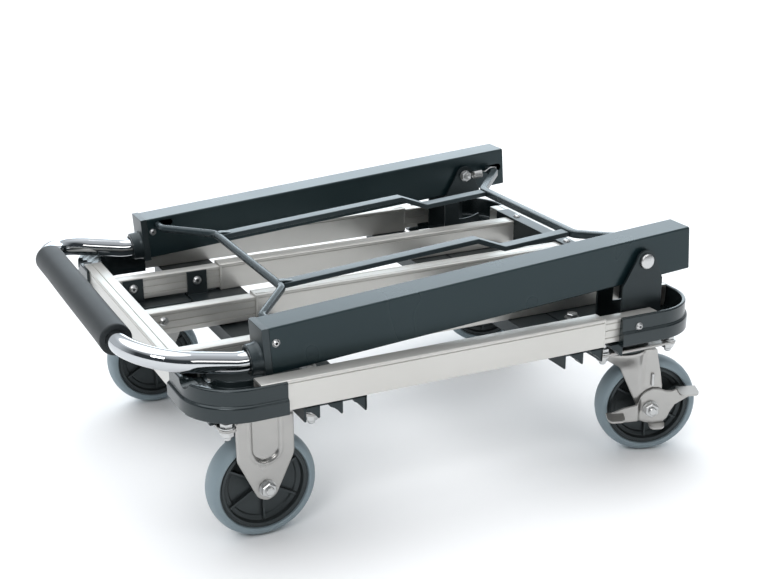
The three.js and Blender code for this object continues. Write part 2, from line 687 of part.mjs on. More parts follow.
// Release frame: two bent rods and the links between them.
function bentRod(u, w, setback, r, name) {
  const tip = UPRIGHT.y - UPRIGHT.w / 2 + 9;
  const at = (a, y) => new THREE.Vector3(a, y, w);
  const corners = [
    at(u, -tip),
    at(u, -176),
    at(u + setback, -112),
    at(u + setback, 112),
    at(u, 176),
    at(u, tip),
  ];
  add(name, bar(new StationPath(corners, [14, 22, 22, 14], 4), r, 6), "darkSteel", ONTO_SLOPE);
}
bentRod(RELEASE_U, RELEASE_W, ROD_SETBACK.release, RELEASE_R, "release_rod");
bentRod(LOCK_U, 0, ROD_SETBACK.lock, LOCK_R, "lock_bar");

for (const [side, s] of SIDES) {
  const start = RELEASE_U + ROD_SETBACK.release + RELEASE_R + GAP;
  const end = LOCK_U + ROD_SETBACK.lock - LOCK_R - GAP;
  const half = LINK.t / 2;
  const outline = polygon([
    [start, RELEASE_W - half],
    [LINK.kinkFrom, RELEASE_W - half],
    [LINK.kinkTo, -half],
    [end, -half],
    [end, half],
    [LINK.kinkTo + half / 2, half],
    [LINK.kinkFrom + half / 2, RELEASE_W + half],
    [start, RELEASE_W + half],
  ]);
  const strip = plateXZ(outline, [s * LINK.y - LINK.w / 2, s * LINK.y + LINK.w / 2]);
  add(`release_link_${side}`, strip, "darkSteel", ONTO_SLOPE);

  // Return spring between the pivot bolt and the lock bar.
  const from = 9.5;
  const to = LOCK_U - LOCK_R - GAP;
  const geometry = new THREE.CylinderGeometry(4, 4, to - from, 12);
  geometry.rotateZ(Math.PI / 2);
  geometry.translate((from + to) / 2, s * (BRACKET.inner - 4.4), 0);
  add(`lock_spring_${side}`, toSolid(geometry), "zinc", ONTO_SLOPE);
}

export default group;
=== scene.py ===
"""Folding platform cart: the looks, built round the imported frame.

Metres. +Z up, +X towards the swivel casters and the handle's pivots, +Y the cart's left side.
Handle pieces are drawn as (u, y, w): u along the folded uprights from the pivot, w square to them, upwards.
"""
import json
import math

import bmesh
import bpy
from mathutils import Euler, Matrix, Vector


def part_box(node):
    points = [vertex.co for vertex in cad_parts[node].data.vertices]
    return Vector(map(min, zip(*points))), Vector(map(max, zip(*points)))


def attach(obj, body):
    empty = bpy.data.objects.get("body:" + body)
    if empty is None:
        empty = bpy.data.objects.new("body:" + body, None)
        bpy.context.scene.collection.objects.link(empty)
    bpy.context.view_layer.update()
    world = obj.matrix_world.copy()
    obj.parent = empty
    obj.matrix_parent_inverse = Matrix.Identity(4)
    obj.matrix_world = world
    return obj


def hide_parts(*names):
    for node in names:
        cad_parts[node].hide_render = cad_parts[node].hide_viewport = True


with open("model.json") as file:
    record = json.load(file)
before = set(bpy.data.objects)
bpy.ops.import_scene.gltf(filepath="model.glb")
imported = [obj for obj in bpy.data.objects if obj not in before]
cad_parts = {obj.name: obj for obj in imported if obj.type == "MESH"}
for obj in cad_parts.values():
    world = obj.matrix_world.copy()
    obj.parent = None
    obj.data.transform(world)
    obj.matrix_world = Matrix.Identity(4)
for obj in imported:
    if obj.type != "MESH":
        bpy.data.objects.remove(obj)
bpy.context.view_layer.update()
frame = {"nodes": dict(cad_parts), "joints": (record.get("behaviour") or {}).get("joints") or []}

# ---------------------------------------------------------------- sizes shared by several pieces
SIDES = (("left", 1), ("right", -1))
JOINT = {j["name"]: j for j in frame["joints"]}
PIVOT = Vector(JOINT["handle_fold"]["pos_m"])
DRAW = Vector(JOINT["handle_extend"]["axis"])  # the way the loop draws out
SLOPE = math.atan2(-DRAW.z, -DRAW.x)
SLOPE_UP = Vector((-math.sin(SLOPE), 0, math.cos(SLOPE)))

UPRIGHT_Y = 0.215
UPRIGHT_END = -0.467  # u of the uprights' open ends
LEG_DROP = 0.0118
LEG_R = 0.0115
LOOP_KINK_U = -0.497
LOOP_REACH = 0.112
LOOP_RISE = math.radians(15)
LOOP_BEND_R = 0.063
LOOP_KINK_R = 0.070
CROSS_U = LOOP_KINK_U - LOOP_REACH * math.cos(LOOP_RISE)
CROSS_W = -LEG_DROP + LOOP_REACH * math.sin(LOOP_RISE)

WHEEL_R = 0.0625
RIM_R = 0.0515
FORK_INNER = 0.0175
FORK_OUTER = 0.0205
PLATE = 0.0033  # thickness of the casters' top plates
PLATE_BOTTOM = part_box("fixed_fork_left")[1].z - PLATE
LEG_SHEET = 0.003  # thickness of the forks' legs
CROWN_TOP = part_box("swivel_fork_left")[1].z

STEEL_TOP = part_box("front_channel")[0].z + 0.0175  # top of the black steel under the rails


def on_slope(u, y, w):
    """A handle point (u, y, w) as a point of the cart."""
    return PIVOT + Vector((0, y, 0)) - DRAW * u + SLOPE_UP * w


# ---------------------------------------------------------------- mesh helpers
def to_mesh(bm, name, keep_normals=False):
    bmesh.ops.remove_doubles(bm, verts=bm.verts, dist=1e-6)
    bmesh.ops.dissolve_degenerate(bm, edges=bm.edges, dist=1e-6)
    if not keep_normals:
        bmesh.ops.recalc_face_normals(bm, faces=bm.faces)
    mesh = bpy.data.meshes.new(name)
    bm.to_mesh(mesh)
    bm.free()
    return mesh


def piece(name, mesh, finish, body, *replaced, smooth=40):
    """A finished mesh as a named object that rides on its body."""
    mesh.materials.clear()
    mesh.materials.append(finish)
    mesh.shade_smooth()
    mesh.set_sharp_from_angle(angle=math.radians(smooth))
    obj = bpy.data.objects.new(name, mesh)
    bpy.context.scene.collection.objects.link(obj)
    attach(obj, body)
    if replaced:
        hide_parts(*replaced)
    return obj


def loft(rings, name, round_and_round=False):
    """A skin over closed rings with the same number of points each."""
    bm = bmesh.new()
    rows = [[bm.verts.new(p) for p in ring] for ring in rings]
    count = len(rows[0])
    pairs = list(zip(rows, rows[1:]))
    if round_and_round:
        pairs.append((rows[-1], rows[0]))
    for a, b in pairs:
        for i in range(count):
            k = (i + 1) % count
            bm.faces.new((a[i], a[k], b[k], b[i]))
    if not round_and_round:
        bm.faces.new(rows[0])
        bm.faces.new(rows[-1][::-1])
    return to_mesh(bm, name)


def lathe(profile, centre, axis, name, segments=64):
    """A closed profile of (radius, distance along the axis) turned about the axis through centre."""
    axis = Vector(axis).normalized()
    side = axis.orthogonal().normalized()
    other = axis.cross(side)
    rings = []
    for i in range(segments):
        a = 2 * math.pi * i / segments
        out = side * math.cos(a) + other * math.sin(a)
        rings.append([Vector(centre) + out * r + axis * d for r, d in profile])
    return loft(rings, name, round_and_round=True)


def arc(cx, cy, r, start, end, steps):
    """Points of an arc, angles in degrees."""
    made = []
    for i in range(steps + 1):
        a = math.radians(start + (end - start) * i / steps)
        made.append((cx + r * math.cos(a), cy + r * math.sin(a)))
    return made


def rounded_path(corners, radii, steps=10):
    """Straight runs joined by arcs."""
    path = [corners[0]]
    for before, corner, after, r in zip(corners, corners[1:], corners[2:], radii):
        into = (corner - before).normalized()
        out = (after - corner).normalized()
        turn = into.angle(out)
        side = (out - into * into.dot(out)).normalized()
        start = corner - into * r * math.tan(turn / 2)
        for i in range(steps + 1):
            a = turn * i / steps
            path.append(start + into * r * math.sin(a) + side * r * (1 - math.cos(a)))
    path.append(corners[-1])
    return path


def sweep(path, section, up, name, swell=None):
    """A bar of the given section along a path. Section points are (sideways, upwards)."""
    rings = []
    for i, point in enumerate(path):
        before = path[max(i - 1, 0)]
        after = path[min(i + 1, len(path) - 1)]
        along = (after - before).normalized()
        side = up.cross(along).normalized()
        top = along.cross(side)
        k = swell(point) if swell else 1
        rings.append([point + side * a * k + top * b * k for a, b in section])
    return loft(rings, name)


def round_section(r, sides=24):
    return arc(0, 0, r, 0, 360 * (1 - 1 / sides), sides - 1)


def soft_square(half_w, half_h, r, steps=4):
    """A rectangle with rounded corners, anticlockwise."""
    outline = []
    for cx, cy, start in (
        (half_w - r, half_h - r, 0),
        (r - half_w, half_h - r, 90),
        (r - half_w, r - half_h, 180),
        (half_w - r, r - half_h, 270),
    ):
        outline += arc(cx, cy, r, start, start + 90, steps)
    return outline


def plate(outline, place, thickness, name, edge=0.0004):
    """A flat plate with eased edges. place turns (a, b, depth) into a point."""
    middle = [sum(p[k] for p in outline) / len(outline) for k in (0, 1)]
    span = max(math.dist(p, middle) for p in outline)
    small = [tuple(m + (v - m) * (1 - edge / span) for v, m in zip(p, middle)) for p in outline]
    rings = [
        [place(a, b, 0) for a, b in small],
        [place(a, b, edge) for a, b in outline],
        [place(a, b, thickness - edge) for a, b in outline],
        [place(a, b, thickness) for a, b in small],
    ]
    return loft(rings, name)


def joined(meshes, name):
    bm = bmesh.new()
    for mesh in meshes:
        bm.from_mesh(mesh)
    made = bpy.data.meshes.new(name)
    bm.to_mesh(made)
    bm.free()
    return made


def block(lo, hi, name):
    bm = bmesh.new()
    bmesh.ops.create_cube(bm, size=1)
    size = Vector(hi) - Vector(lo)
    middle = (Vector(hi) + Vector(lo)) / 2
    for v in bm.verts:
        v.co = Vector(c * s for c, s in zip(v.co, size)) + middle
    return to_mesh(bm, name)


def finished(obj):
    """The object's mesh with its modifiers applied."""
    bpy.context.view_layer.update()
    made = bpy.data.meshes.new_from_object(obj.evaluated_get(bpy.context.evaluated_depsgraph_get()))
    bpy.data.objects.remove(obj)
    return made


def carve(mesh, cutters, name):
    """The mesh with the cutters taken out of it."""
    obj = bpy.data.objects.new(name, mesh)
    bpy.context.scene.collection.objects.link(obj)
    tools = []
    for cutter in cutters:
        tool = bpy.data.objects.new(f"{name}_tool", cutter)
        bpy.context.scene.collection.objects.link(tool)
        modifier = obj.modifiers.new("cut", "BOOLEAN")
        modifier.operation = "DIFFERENCE"
        modifier.solver = "EXACT"
        modifier.object = tool
        tools.append(tool)
    made = finished(obj)
    for tool in tools:
        bpy.data.objects.remove(tool)
    return made


def eased_copy(node, width=0.0006, shortest=0.004, along=None):
    """A CAD node's shape with its long edges rounded over, or only those that run one way."""
    bm = bmesh.new()
    bm.from_mesh(frame["nodes"][node].data)
    bmesh.ops.remove_doubles(bm, verts=bm.verts, dist=2e-6)
    bmesh.ops.dissolve_limit(bm, angle_limit=math.radians(0.5), verts=bm.verts, edges=bm.edges)
    weight = bm.edges.layers.float.new("bevel_weight_edge")
    for edge in bm.edges:
        sharp = len(edge.link_faces) == 2 and edge.calc_face_angle(0) > math.radians(35)
        run = (edge.verts[1].co - edge.verts[0].co).normalized()
        wanted = sharp and edge.calc_length() > shortest and (along is None or abs(run.dot(along)) > 0.999)
        edge[weight] = 1.0 if wanted else 0.0
    obj = bpy.data.objects.new(f"{node}_copy", to_mesh(bm, node, keep_normals=True))
    bpy.context.scene.collection.objects.link(obj)
    ease = obj.modifiers.new("ease", "BEVEL")
    ease.limit_method = "WEIGHT"
    ease.width = width
    ease.segments = 3 if width > 0.001 else 2
    ease.use_clamp_overlap = False
    ease.harden_normals = False
    return finished(obj)


def flat_faces_first(obj):
    """Shades the broad faces flat and lets the eased edges carry the turn."""
    modifier = obj.modifiers.new("normals", "WEIGHTED_NORMAL")
    modifier.keep_sharp = True
    modifier.weight = 100
    return obj


# ---------------------------------------------------------------- finishes
class Finish:
    """A procedural material on object coordinates."""

    def __init__(self, name, colour, roughness, metallic=0.0, **sockets):
        self.material = bpy.data.materials.new(name)
        self.material.use_nodes = True
        self.nodes = self.material.node_tree.nodes
        self.links = self.material.node_tree.links
        self.shader = self.nodes["Principled BSDF"]
        self.shader.inputs["Base Color"].default_value = (*colour, 1)
        self.shader.inputs["Roughness"].default_value = roughness
        self.shader.inputs["Metallic"].default_value = metallic
        for key, value in sockets.items():
            self.shader.inputs[key.replace("_", " ")].default_value = value
        self.place = self.nodes.new("ShaderNodeTexCoord")
        self.height = None

    def noise(self, scale, stretch=(1, 1, 1), detail=3.0, rough=0.55):
        mapping = self.nodes.new("ShaderNodeMapping")
        mapping.inputs["Scale"].default_value = stretch
        self.links.new(self.place.outputs["Object"], mapping.inputs["Vector"])
        noise = self.nodes.new("ShaderNodeTexNoise")
        noise.inputs["Scale"].default_value = scale
        noise.inputs["Detail"].default_value = detail
        noise.inputs["Roughness"].default_value = rough
        self.links.new(mapping.outputs["Vector"], noise.inputs["Vector"])
        return noise.outputs["Fac"]

    def cells(self, scale):
        cells = self.nodes.new("ShaderNodeTexVoronoi")
        cells.inputs["Scale"].default_value = scale
        self.links.new(self.place.outputs["Object"], cells.inputs["Vector"])
        return cells.outputs["Distance"]

    def between(self, value, from_low, from_high, to_low, to_high):
        scaled = self.nodes.new("ShaderNodeMapRange")
        for key, number in (
            ("From Min", from_low),
            ("From Max", from_high),
            ("To Min", to_low),
            ("To Max", to_high),
        ):
            scaled.inputs[key].default_value = number
        self.links.new(value, scaled.inputs["Value"])
        return scaled.outputs["Result"]

    def tint(self, value, colour_a, colour_b, low=0.15, high=0.85):
        """Base colour that wanders between two colours."""
        mix = self.nodes.new("ShaderNodeMix")
        mix.data_type = "RGBA"
        mix.inputs[6].default_value = (*colour_a, 1)
        mix.inputs[7].default_value = (*colour_b, 1)
        self.links.new(self.between(value, low, high, 0, 1), mix.inputs["Factor"])
        self.links.new(mix.outputs[2], self.shader.inputs["Base Color"])
        return self

    def gloss(self, value, low, high):
        """Roughness that wanders between two values."""
        self.links.new(self.between(value, 0.1, 0.9, low, high), self.shader.inputs["Roughness"])
        return self

    def relief(self, value, distance, strength=1.0):
        """Adds a layer of surface relief."""
        bump = self.nodes.new("ShaderNodeBump")
        bump.inputs["Distance"].default_value = distance
        bump.inputs["Strength"].default_value = strength
        self.links.new(value, bump.inputs["Height"])
        if self.height is not None:
            self.links.new(self.height, bump.inputs["Normal"])
        self.height = bump.outputs["Normal"]
        self.links.new(self.height, self.shader.inputs["Normal"])
        return self


def anodised(name, stretch):
    """Satin anodised aluminium with fine drawing lines along one direction."""
    f = Finish(name, (0.60, 0.585, 0.555), 0.36, metallic=0.62)
    cloud = f.noise(7, detail=2)
    lines = f.noise(900, stretch=stretch, detail=2, rough=0.6)
    f.tint(cloud, (0.54, 0.53, 0.50), (0.60, 0.59, 0.565))
    f.gloss(lines, 0.32, 0.42)
    f.relief(lines, 0.00001, 0.2)
    return f.material


def painted(name, dark, light, roughness, peel):
    """Stoved paint on steel: slight orange peel, faint rubbing."""
    f = Finish(name, dark, roughness, Specular_IOR_Level=0.42, Specular_Tint=(0.80, 0.95, 1.0, 1))
    rubbed = f.noise(6, stretch=(1, 1, 2.5), detail=2, rough=0.5)
    f.tint(rubbed, dark, light)
    f.gloss(f.noise(12, detail=1), roughness - 0.02, roughness + 0.03)
    f.relief(f.noise(90, detail=1), peel, 0.05)
    return f.material


def moulded(name, dark, light, roughness, grain):
    """Moulded plastic with a fine leathery grain."""
    f = Finish(name, dark, roughness, Specular_IOR_Level=0.55, Specular_Tint=(0.86, 0.96, 1.0, 1))
    f.tint(f.noise(12, detail=2), dark, light)
    f.gloss(f.noise(30, detail=2), roughness - 0.03, roughness + 0.04)
    f.relief(f.cells(320), grain, 0.04)
    return f.material


def chrome_plate():
    f = Finish("chrome_plate", (0.50, 0.515, 0.53), 0.05, metallic=1.0)
    f.tint(f.noise(12, detail=2), (0.49, 0.505, 0.52), (0.53, 0.545, 0.56))
    f.gloss(f.noise(45, stretch=(1, 0.4, 1), detail=4), 0.03, 0.07)
    return f.material


def zinc_plate(name, dark, light):
    """Bright zinc plating: cloudy, with faint rolling marks."""
    f = Finish(name, light, 0.28, metallic=0.9)
    cloud = f.noise(24, detail=2)
    f.tint(cloud, dark, light)
    f.gloss(f.noise(18, detail=1), 0.24, 0.36)
    f.relief(f.noise(60, stretch=(1, 1, 0.3), detail=0), 0.00001, 0.04)
    return f.material


def tyre_rubber():
    f = Finish("tyre_rubber", (0.21, 0.265, 0.295), 0.45, Specular_IOR_Level=0.45)
    f.tint(f.noise(20, detail=4), (0.20, 0.255, 0.285), (0.235, 0.295, 0.325))
    f.gloss(f.noise(70, detail=4), 0.42, 0.6)
    f.relief(f.noise(200, detail=1), 0.00002, 0.08)
    return f.material


def grip_foam():
    f = Finish("grip_foam", (0.014, 0.018, 0.020), 0.5, Specular_IOR_Level=0.28)
    f.shader.inputs["Sheen Weight"].default_value = 0.04
    f.shader.inputs["Sheen Roughness"].default_value = 0.4
    f.tint(f.noise(30, detail=3), (0.012, 0.016, 0.018), (0.018, 0.022, 0.024))
    f.gloss(f.noise(30, detail=2), 0.46, 0.54)
    f.relief(f.cells(300), 0.00002, 0.06)
    return f.material


ALU_X = anodised("anodised_drawn_lengthwise", (0.01, 1, 1))
ALU_Y = anodised("anodised_drawn_crosswise", (1, 0.01, 1))
UPRIGHT_COAT = painted("upright_coat", (0.005, 0.0135, 0.0160), (0.008, 0.018, 0.021), 0.28, 0.00001)
BLACK_STEEL = painted("black_stoved_steel", (0.008, 0.011, 0.012), (0.016, 0.020, 0.022), 0.36, 0.00002)
ROD_PAINT = painted("grey_rod_paint", (0.018, 0.026, 0.029), (0.028, 0.038, 0.042), 0.26, 0.00001)
LINK_PAINT = painted("grey_link_paint", (0.022, 0.030, 0.034), (0.034, 0.045, 0.050), 0.30, 0.00001)
CORNER_PLASTIC = moulded("corner_plastic", (0.006, 0.010, 0.011), (0.010, 0.015, 0.016), 0.25, 0.00002)
CAP_PLASTIC = moulded("cap_plastic", (0.012, 0.018, 0.020), (0.018, 0.026, 0.029), 0.34, 0.00002)
HUB_PLASTIC = moulded("hub_plastic", (0.012, 0.015, 0.016), (0.022, 0.026, 0.026), 0.38, 0.00003)
CHROME = chrome_plate()
ZINC = zinc_plate("zinc_plate", (0.36, 0.355, 0.345), (0.44, 0.432, 0.415))
FASTENER = zinc_plate("bright_fastener", (0.46, 0.47, 0.47), (0.58, 0.58, 0.575))
TYRE = tyre_rubber()
FOAM = grip_foam()


# ---------------------------------------------------------------- node recipes for what repeats
class Recipe:
    """A Geometry Nodes tree under construction."""

    def __init__(self, name, **sizes):
        self.tree = bpy.data.node_groups.new(name, "GeometryNodeTree")
        sockets = self.tree.interface
        sockets.new_socket("Geometry", in_out="INPUT", socket_type="NodeSocketGeometry")
        for key, value in sizes.items():
            kind = "NodeSocketInt" if isinstance(value, int) else "NodeSocketFloat"
            made = sockets.new_socket(key.replace("_", " "), in_out="INPUT", socket_type=kind)
            made.default_value = value
        sockets.new_socket("Material", in_out="INPUT", socket_type="NodeSocketMaterial")
        sockets.new_socket("Geometry", in_out="OUTPUT", socket_type="NodeSocketGeometry")
        self.given = self.tree.nodes.new("NodeGroupInput").outputs
        self.result = self.tree.nodes.new("NodeGroupOutput").inputs

    def add(self, kind, _settings=None, **inputs):
        node = self.tree.nodes.new(kind)
        for key, value in (_settings or {}).items():
            setattr(node, key, value)
        for key, value in inputs.items():
            socket = node.inputs[key.replace("_", " ")]
            if isinstance(value, bpy.types.NodeSocket):
                self.tree.links.new(value, socket)
            else:
                socket.default_value = value
        return node

    def maths(self, operation, a, b):
        node = self.tree.nodes.new("ShaderNodeMath")
        node.operation = operation
        for socket, value in zip(node.inputs, (a, b)):
            if isinstance(value, bpy.types.NodeSocket):
                self.tree.links.new(value, socket)
            else:
                socket.default_value = value
        return node.outputs[0]

    def lifted(self, mesh, z):
        offset = self.add("ShaderNodeCombineXYZ", Z=z).outputs[0]
        return self.add("GeometryNodeTransform", Geometry=mesh, Translation=offset).outputs[0]

    def drum(self, sides, bottom, top, height, z):
        """An upright drum or cone whose foot is at height z."""
        made = self.add(
            "GeometryNodeMeshCone", Vertices=sides, Radius_Bottom=bottom, Radius_Top=top, Depth=height
        )
        return self.lifted(made.outputs["Mesh"], z)

    def joined(self, *parts):
        node = self.tree.nodes.new("GeometryNodeJoinGeometry")
        for part in parts:
            self.tree.links.new(part, node.inputs[0])
        return node.outputs[0]

    def set_down(self, part):
        """Sets the part on every point, turned as the point's attribute says, and closes the tree."""
        turn = self.add("GeometryNodeInputNamedAttribute", {"data_type": "FLOAT_VECTOR"}, Name="turn")
        rotation = self.add("FunctionNodeEulerToRotation", Euler=turn.outputs["Attribute"]).outputs[0]
        placed = self.add(
            "GeometryNodeInstanceOnPoints", Points=self.given["Geometry"], Instance=part, Rotation=rotation
        ).outputs[0]
        real = self.add("GeometryNodeRealizeInstances", Geometry=placed).outputs[0]
        done = self.add("GeometryNodeSetMaterial", Geometry=real, Material=self.given["Material"]).outputs[0]
        self.tree.links.new(done, self.result["Geometry"])
        return self.tree


def button_screw_recipe():
    """A low domed screw head with a hexagon socket, on an optional washer."""
    r = Recipe(
        "button_screw", Head_Radius=0.0045, Head_Height=0.0024, Socket_Radius=0.0016,
        Washer_Radius=0.005, Washer_Height=0.0005,
    )
    g = r.given
    lower = r.maths("MULTIPLY", g["Head Height"], 0.45)
    upper = r.maths("MULTIPLY", g["Head Height"], 0.55)
    waist = r.maths("MULTIPLY", g["Head Radius"], 0.90)
    crown = r.maths("MULTIPLY", g["Head Radius"], 0.58)
    step = r.maths("ADD", g["Washer Height"], lower)
    washer = r.drum(32, g["Washer Radius"], g["Washer Radius"], g["Washer Height"], 0.0)
    foot = r.drum(32, g["Head Radius"], waist, lower, g["Washer Height"])
    dome = r.drum(32, waist, crown, upper, step)
    bore = r.drum(6, g["Socket Radius"], g["Socket Radius"], g["Head Height"], step)
    hollowed = r.add("GeometryNodeMeshBoolean", {"operation": "DIFFERENCE"}, Mesh_1=dome, Mesh_2=bore)
    return r.set_down(r.joined(washer, foot, hollowed.outputs["Mesh"]))


def hexagon_recipe():
    """A hexagon nut or head on a washer, with the end of its bolt."""
    r = Recipe(
        "hexagon", Head_Radius=0.0075, Head_Height=0.005, Washer_Radius=0.0085, Washer_Height=0.0012,
        Bolt_Radius=0.004, Bolt_Stands=0.0025,
    )
    g = r.given
    body = r.maths("MULTIPLY", g["Head Height"], 0.86)
    chamfer = r.maths("MULTIPLY", g["Head Height"], 0.14)
    shoulder = r.maths("ADD", g["Washer Height"], body)
    top = r.maths("ADD", g["Washer Height"], g["Head Height"])
    inner = r.maths("MULTIPLY", g["Head Radius"], 0.88)
    tip = r.maths("MULTIPLY", g["Bolt Radius"], 0.78)
    shank = r.maths("MULTIPLY", g["Bolt Stands"], 0.72)
    point = r.maths("MULTIPLY", g["Bolt Stands"], 0.28)
    point_z = r.maths("ADD", top, shank)
    return r.set_down(
        r.joined(
            r.drum(32, g["Washer Radius"], g["Washer Radius"], g["Washer Height"], 0.0),
            r.drum(6, g["Head Radius"], g["Head Radius"], body, g["Washer Height"]),
            r.drum(6, g["Head Radius"], inner, chamfer, shoulder),
            r.drum(24, g["Bolt Radius"], g["Bolt Radius"], shank, top),
            r.drum(24, g["Bolt Radius"], tip, point, point_z),
        )
    )


def coil_spring_recipe():
    """A close coil spring that starts on the point and runs along its own axis."""
    r = Recipe("coil_spring", Coil_Radius=0.0045, Wire_Radius=0.0006, Length=0.02, Turns=12.0)
    g = r.given
    coil = r.add(
        "GeometryNodeCurveSpiral", Resolution=20, Rotations=g["Turns"], Start_Radius=g["Coil Radius"],
        End_Radius=g["Coil Radius"], Height=g["Length"],
    ).outputs[0]
    wire = r.add("GeometryNodeCurvePrimitiveCircle", Resolution=8, Radius=g["Wire Radius"]).outputs[0]
    body = r.add("GeometryNodeCurveToMesh", Curve=coil, Profile_Curve=wire, Fill_Caps=True).outputs[0]
    return r.set_down(body)


def wheel_ribs_recipe():
    """Radial ribs that stand out from both faces of a wheel's web."""
    r = Recipe("wheel_ribs", Count=6, Inner_Radius=0.012, Outer_Radius=0.0448, Thickness=0.0024, Width=0.016)
    g = r.given
    length = r.maths("SUBTRACT", g["Outer Radius"], g["Inner Radius"])
    middle = r.maths("DIVIDE", r.maths("ADD", g["Outer Radius"], g["Inner Radius"]), 2.0)
    size = r.add("ShaderNodeCombineXYZ", X=length, Y=g["Thickness"], Z=g["Width"]).outputs[0]
    rib = r.add("GeometryNodeMeshCube", Size=size).outputs["Mesh"]
    ring = r.add("GeometryNodeMeshCircle", Vertices=g["Count"], Radius=middle).outputs["Mesh"]
    place = r.add("GeometryNodeInputPosition").outputs[0]
    outward = r.add("FunctionNodeAlignRotationToVector", {"axis": "X"}, Vector=place).outputs[0]
    ribs = r.add("GeometryNodeInstanceOnPoints", Points=ring, Instance=rib, Rotation=outward).outputs[0]
    return r.set_down(r.add("GeometryNodeRealizeInstances", Geometry=ribs).outputs[0])


def screw_sizes(head, height, socket, washer, washer_height):
    return {
        "Head_Radius": head, "Head_Height": height, "Socket_Radius": socket,
        "Washer_Radius": washer, "Washer_Height": washer_height,
    }


def bolt_sizes(head, height, washer, washer_height, bolt, stands):
    """Sizes of a nut or hexagon head; stands is how far the bolt's end stands out of it."""
    return {
        "Head_Radius": head, "Head_Height": height, "Washer_Radius": washer,
        "Washer_Height": washer_height, "Bolt_Radius": bolt, "Bolt_Stands": stands,
    }


CAP_SCREW = screw_sizes(0.0042, 0.0022, 0.0017, 0.0044, 0.0003)
TAB_SCREW = screw_sizes(0.0058, 0.0031, 0.0019, 0.0058, 0.0003)
CORNER_SCREW = screw_sizes(0.0045, 0.0024, 0.0017, 0.0047, 0.0006)
STRIP_SCREW = screw_sizes(0.0050, 0.0024, 0.0018, 0.0052, 0.0003)
FRONT_AXLE_NUT = bolt_sizes(0.0088, 0.0064, 0.0098, 0.0011, 0.005, 0.0029)
REAR_AXLE_NUT = bolt_sizes(0.0092, 0.0068, 0.0100, 0.0011, 0.005, 0.0036)
REAR_AXLE_HEAD = bolt_sizes(0.0092, 0.0062, 0.0100, 0.0011, 0.003, 0.0004)
PIVOT_NUT = bolt_sizes(0.0078, 0.0052, 0.0078, 0.0010, 0.0042, 0.0022)
PLATE_NUT = bolt_sizes(0.0072, 0.0058, 0.0086, 0.0013, 0.004, 0.0040)
PLATE_BOLT_HEAD = bolt_sizes(0.0072, 0.0050, 0.0092, 0.0014, 0.0036, 0.0003)
PLATE_SHANK = bolt_sizes(0.0072, 0.0050, 0.0086, 0.0013, 0.004, 0.0125)
CHANNEL_BOLT = bolt_sizes(0.0072, 0.0055, 0.0098, 0.0016, 0.004, 0.0022)

BUTTON_SCREW = button_screw_recipe()
HEXAGON = hexagon_recipe()
COIL_SPRING = coil_spring_recipe()
WHEEL_RIBS = wheel_ribs_recipe()


def grown(name, recipe, places, finish, body, *replaced, smooth=35, **sizes):
    """Plants a recipe on points. places are (point, direction or turn matrix)."""
    mesh = bpy.data.meshes.new(f"{name}_places")
    mesh.from_pydata([tuple(p) for p, _ in places], [], [])
    turn = mesh.attributes.new("turn", "FLOAT_VECTOR", "POINT")
    for item, (_, way) in zip(turn.data, places):
        rotation = way if isinstance(way, Matrix) else Vector(way).to_track_quat("Z", "X").to_matrix()
        item.vector = rotation.to_euler()
    obj = bpy.data.objects.new(f"{name}_places", mesh)
    bpy.context.scene.collection.objects.link(obj)
    modifier = obj.modifiers.new("build", "NODES")
    modifier.node_group = recipe
    wanted = {key.replace("_", " "): value for key, value in sizes.items()} | {"Material": finish}
    for item in recipe.interface.items_tree:
        if item.in_out == "INPUT" and item.name in wanted:
            modifier[item.identifier] = wanted[item.name]
    return piece(name, finished(obj), finish, body, *replaced, smooth=smooth)


# ---------------------------------------------------------------- extruded rails
def notched_edge(start, end, places, inward, width=0.0016, depth=0.0011):
    """Points from start to end, with a shallow groove at each distance from start."""
    start, end, inward = Vector(start), Vector(end), Vector(inward)
    along = (end - start).normalized()
    made = []
    for place in sorted(places):
        made += [
            start + along * (place - width / 2),
            start + along * (place - width / 4) + inward * depth,
            start + along * (place + width / 4) + inward * depth,
            start + along * (place + width / 2),
        ]
    return [tuple(p) for p in made]


def rail_outline(width, height, side_grooves, top_grooves, r=0.0011):
    """Outside of an extrusion as (across, up), with its top at 0.

    Side grooves are given from the top downwards, top grooves from the middle outwards.
    """
    half = width / 2
    outline = arc(half - r, r - height, r, -90, 0, 3)
    outline += notched_edge((half, -height), (half, 0), [height - g for g in side_grooves], (-1, 0))
    outline += arc(half - r, -r, r, 0, 90, 3)
    outline += notched_edge((half, 0), (-half, 0), [half - g for g in top_grooves], (0, -1))
    outline += arc(r - half, -r, r, 90, 180, 3)
    outline += notched_edge((-half, 0), (-half, -height), side_grooves, (1, 0))
    outline += arc(r - half, r - height, r, 180, 270, 3)
    return outline


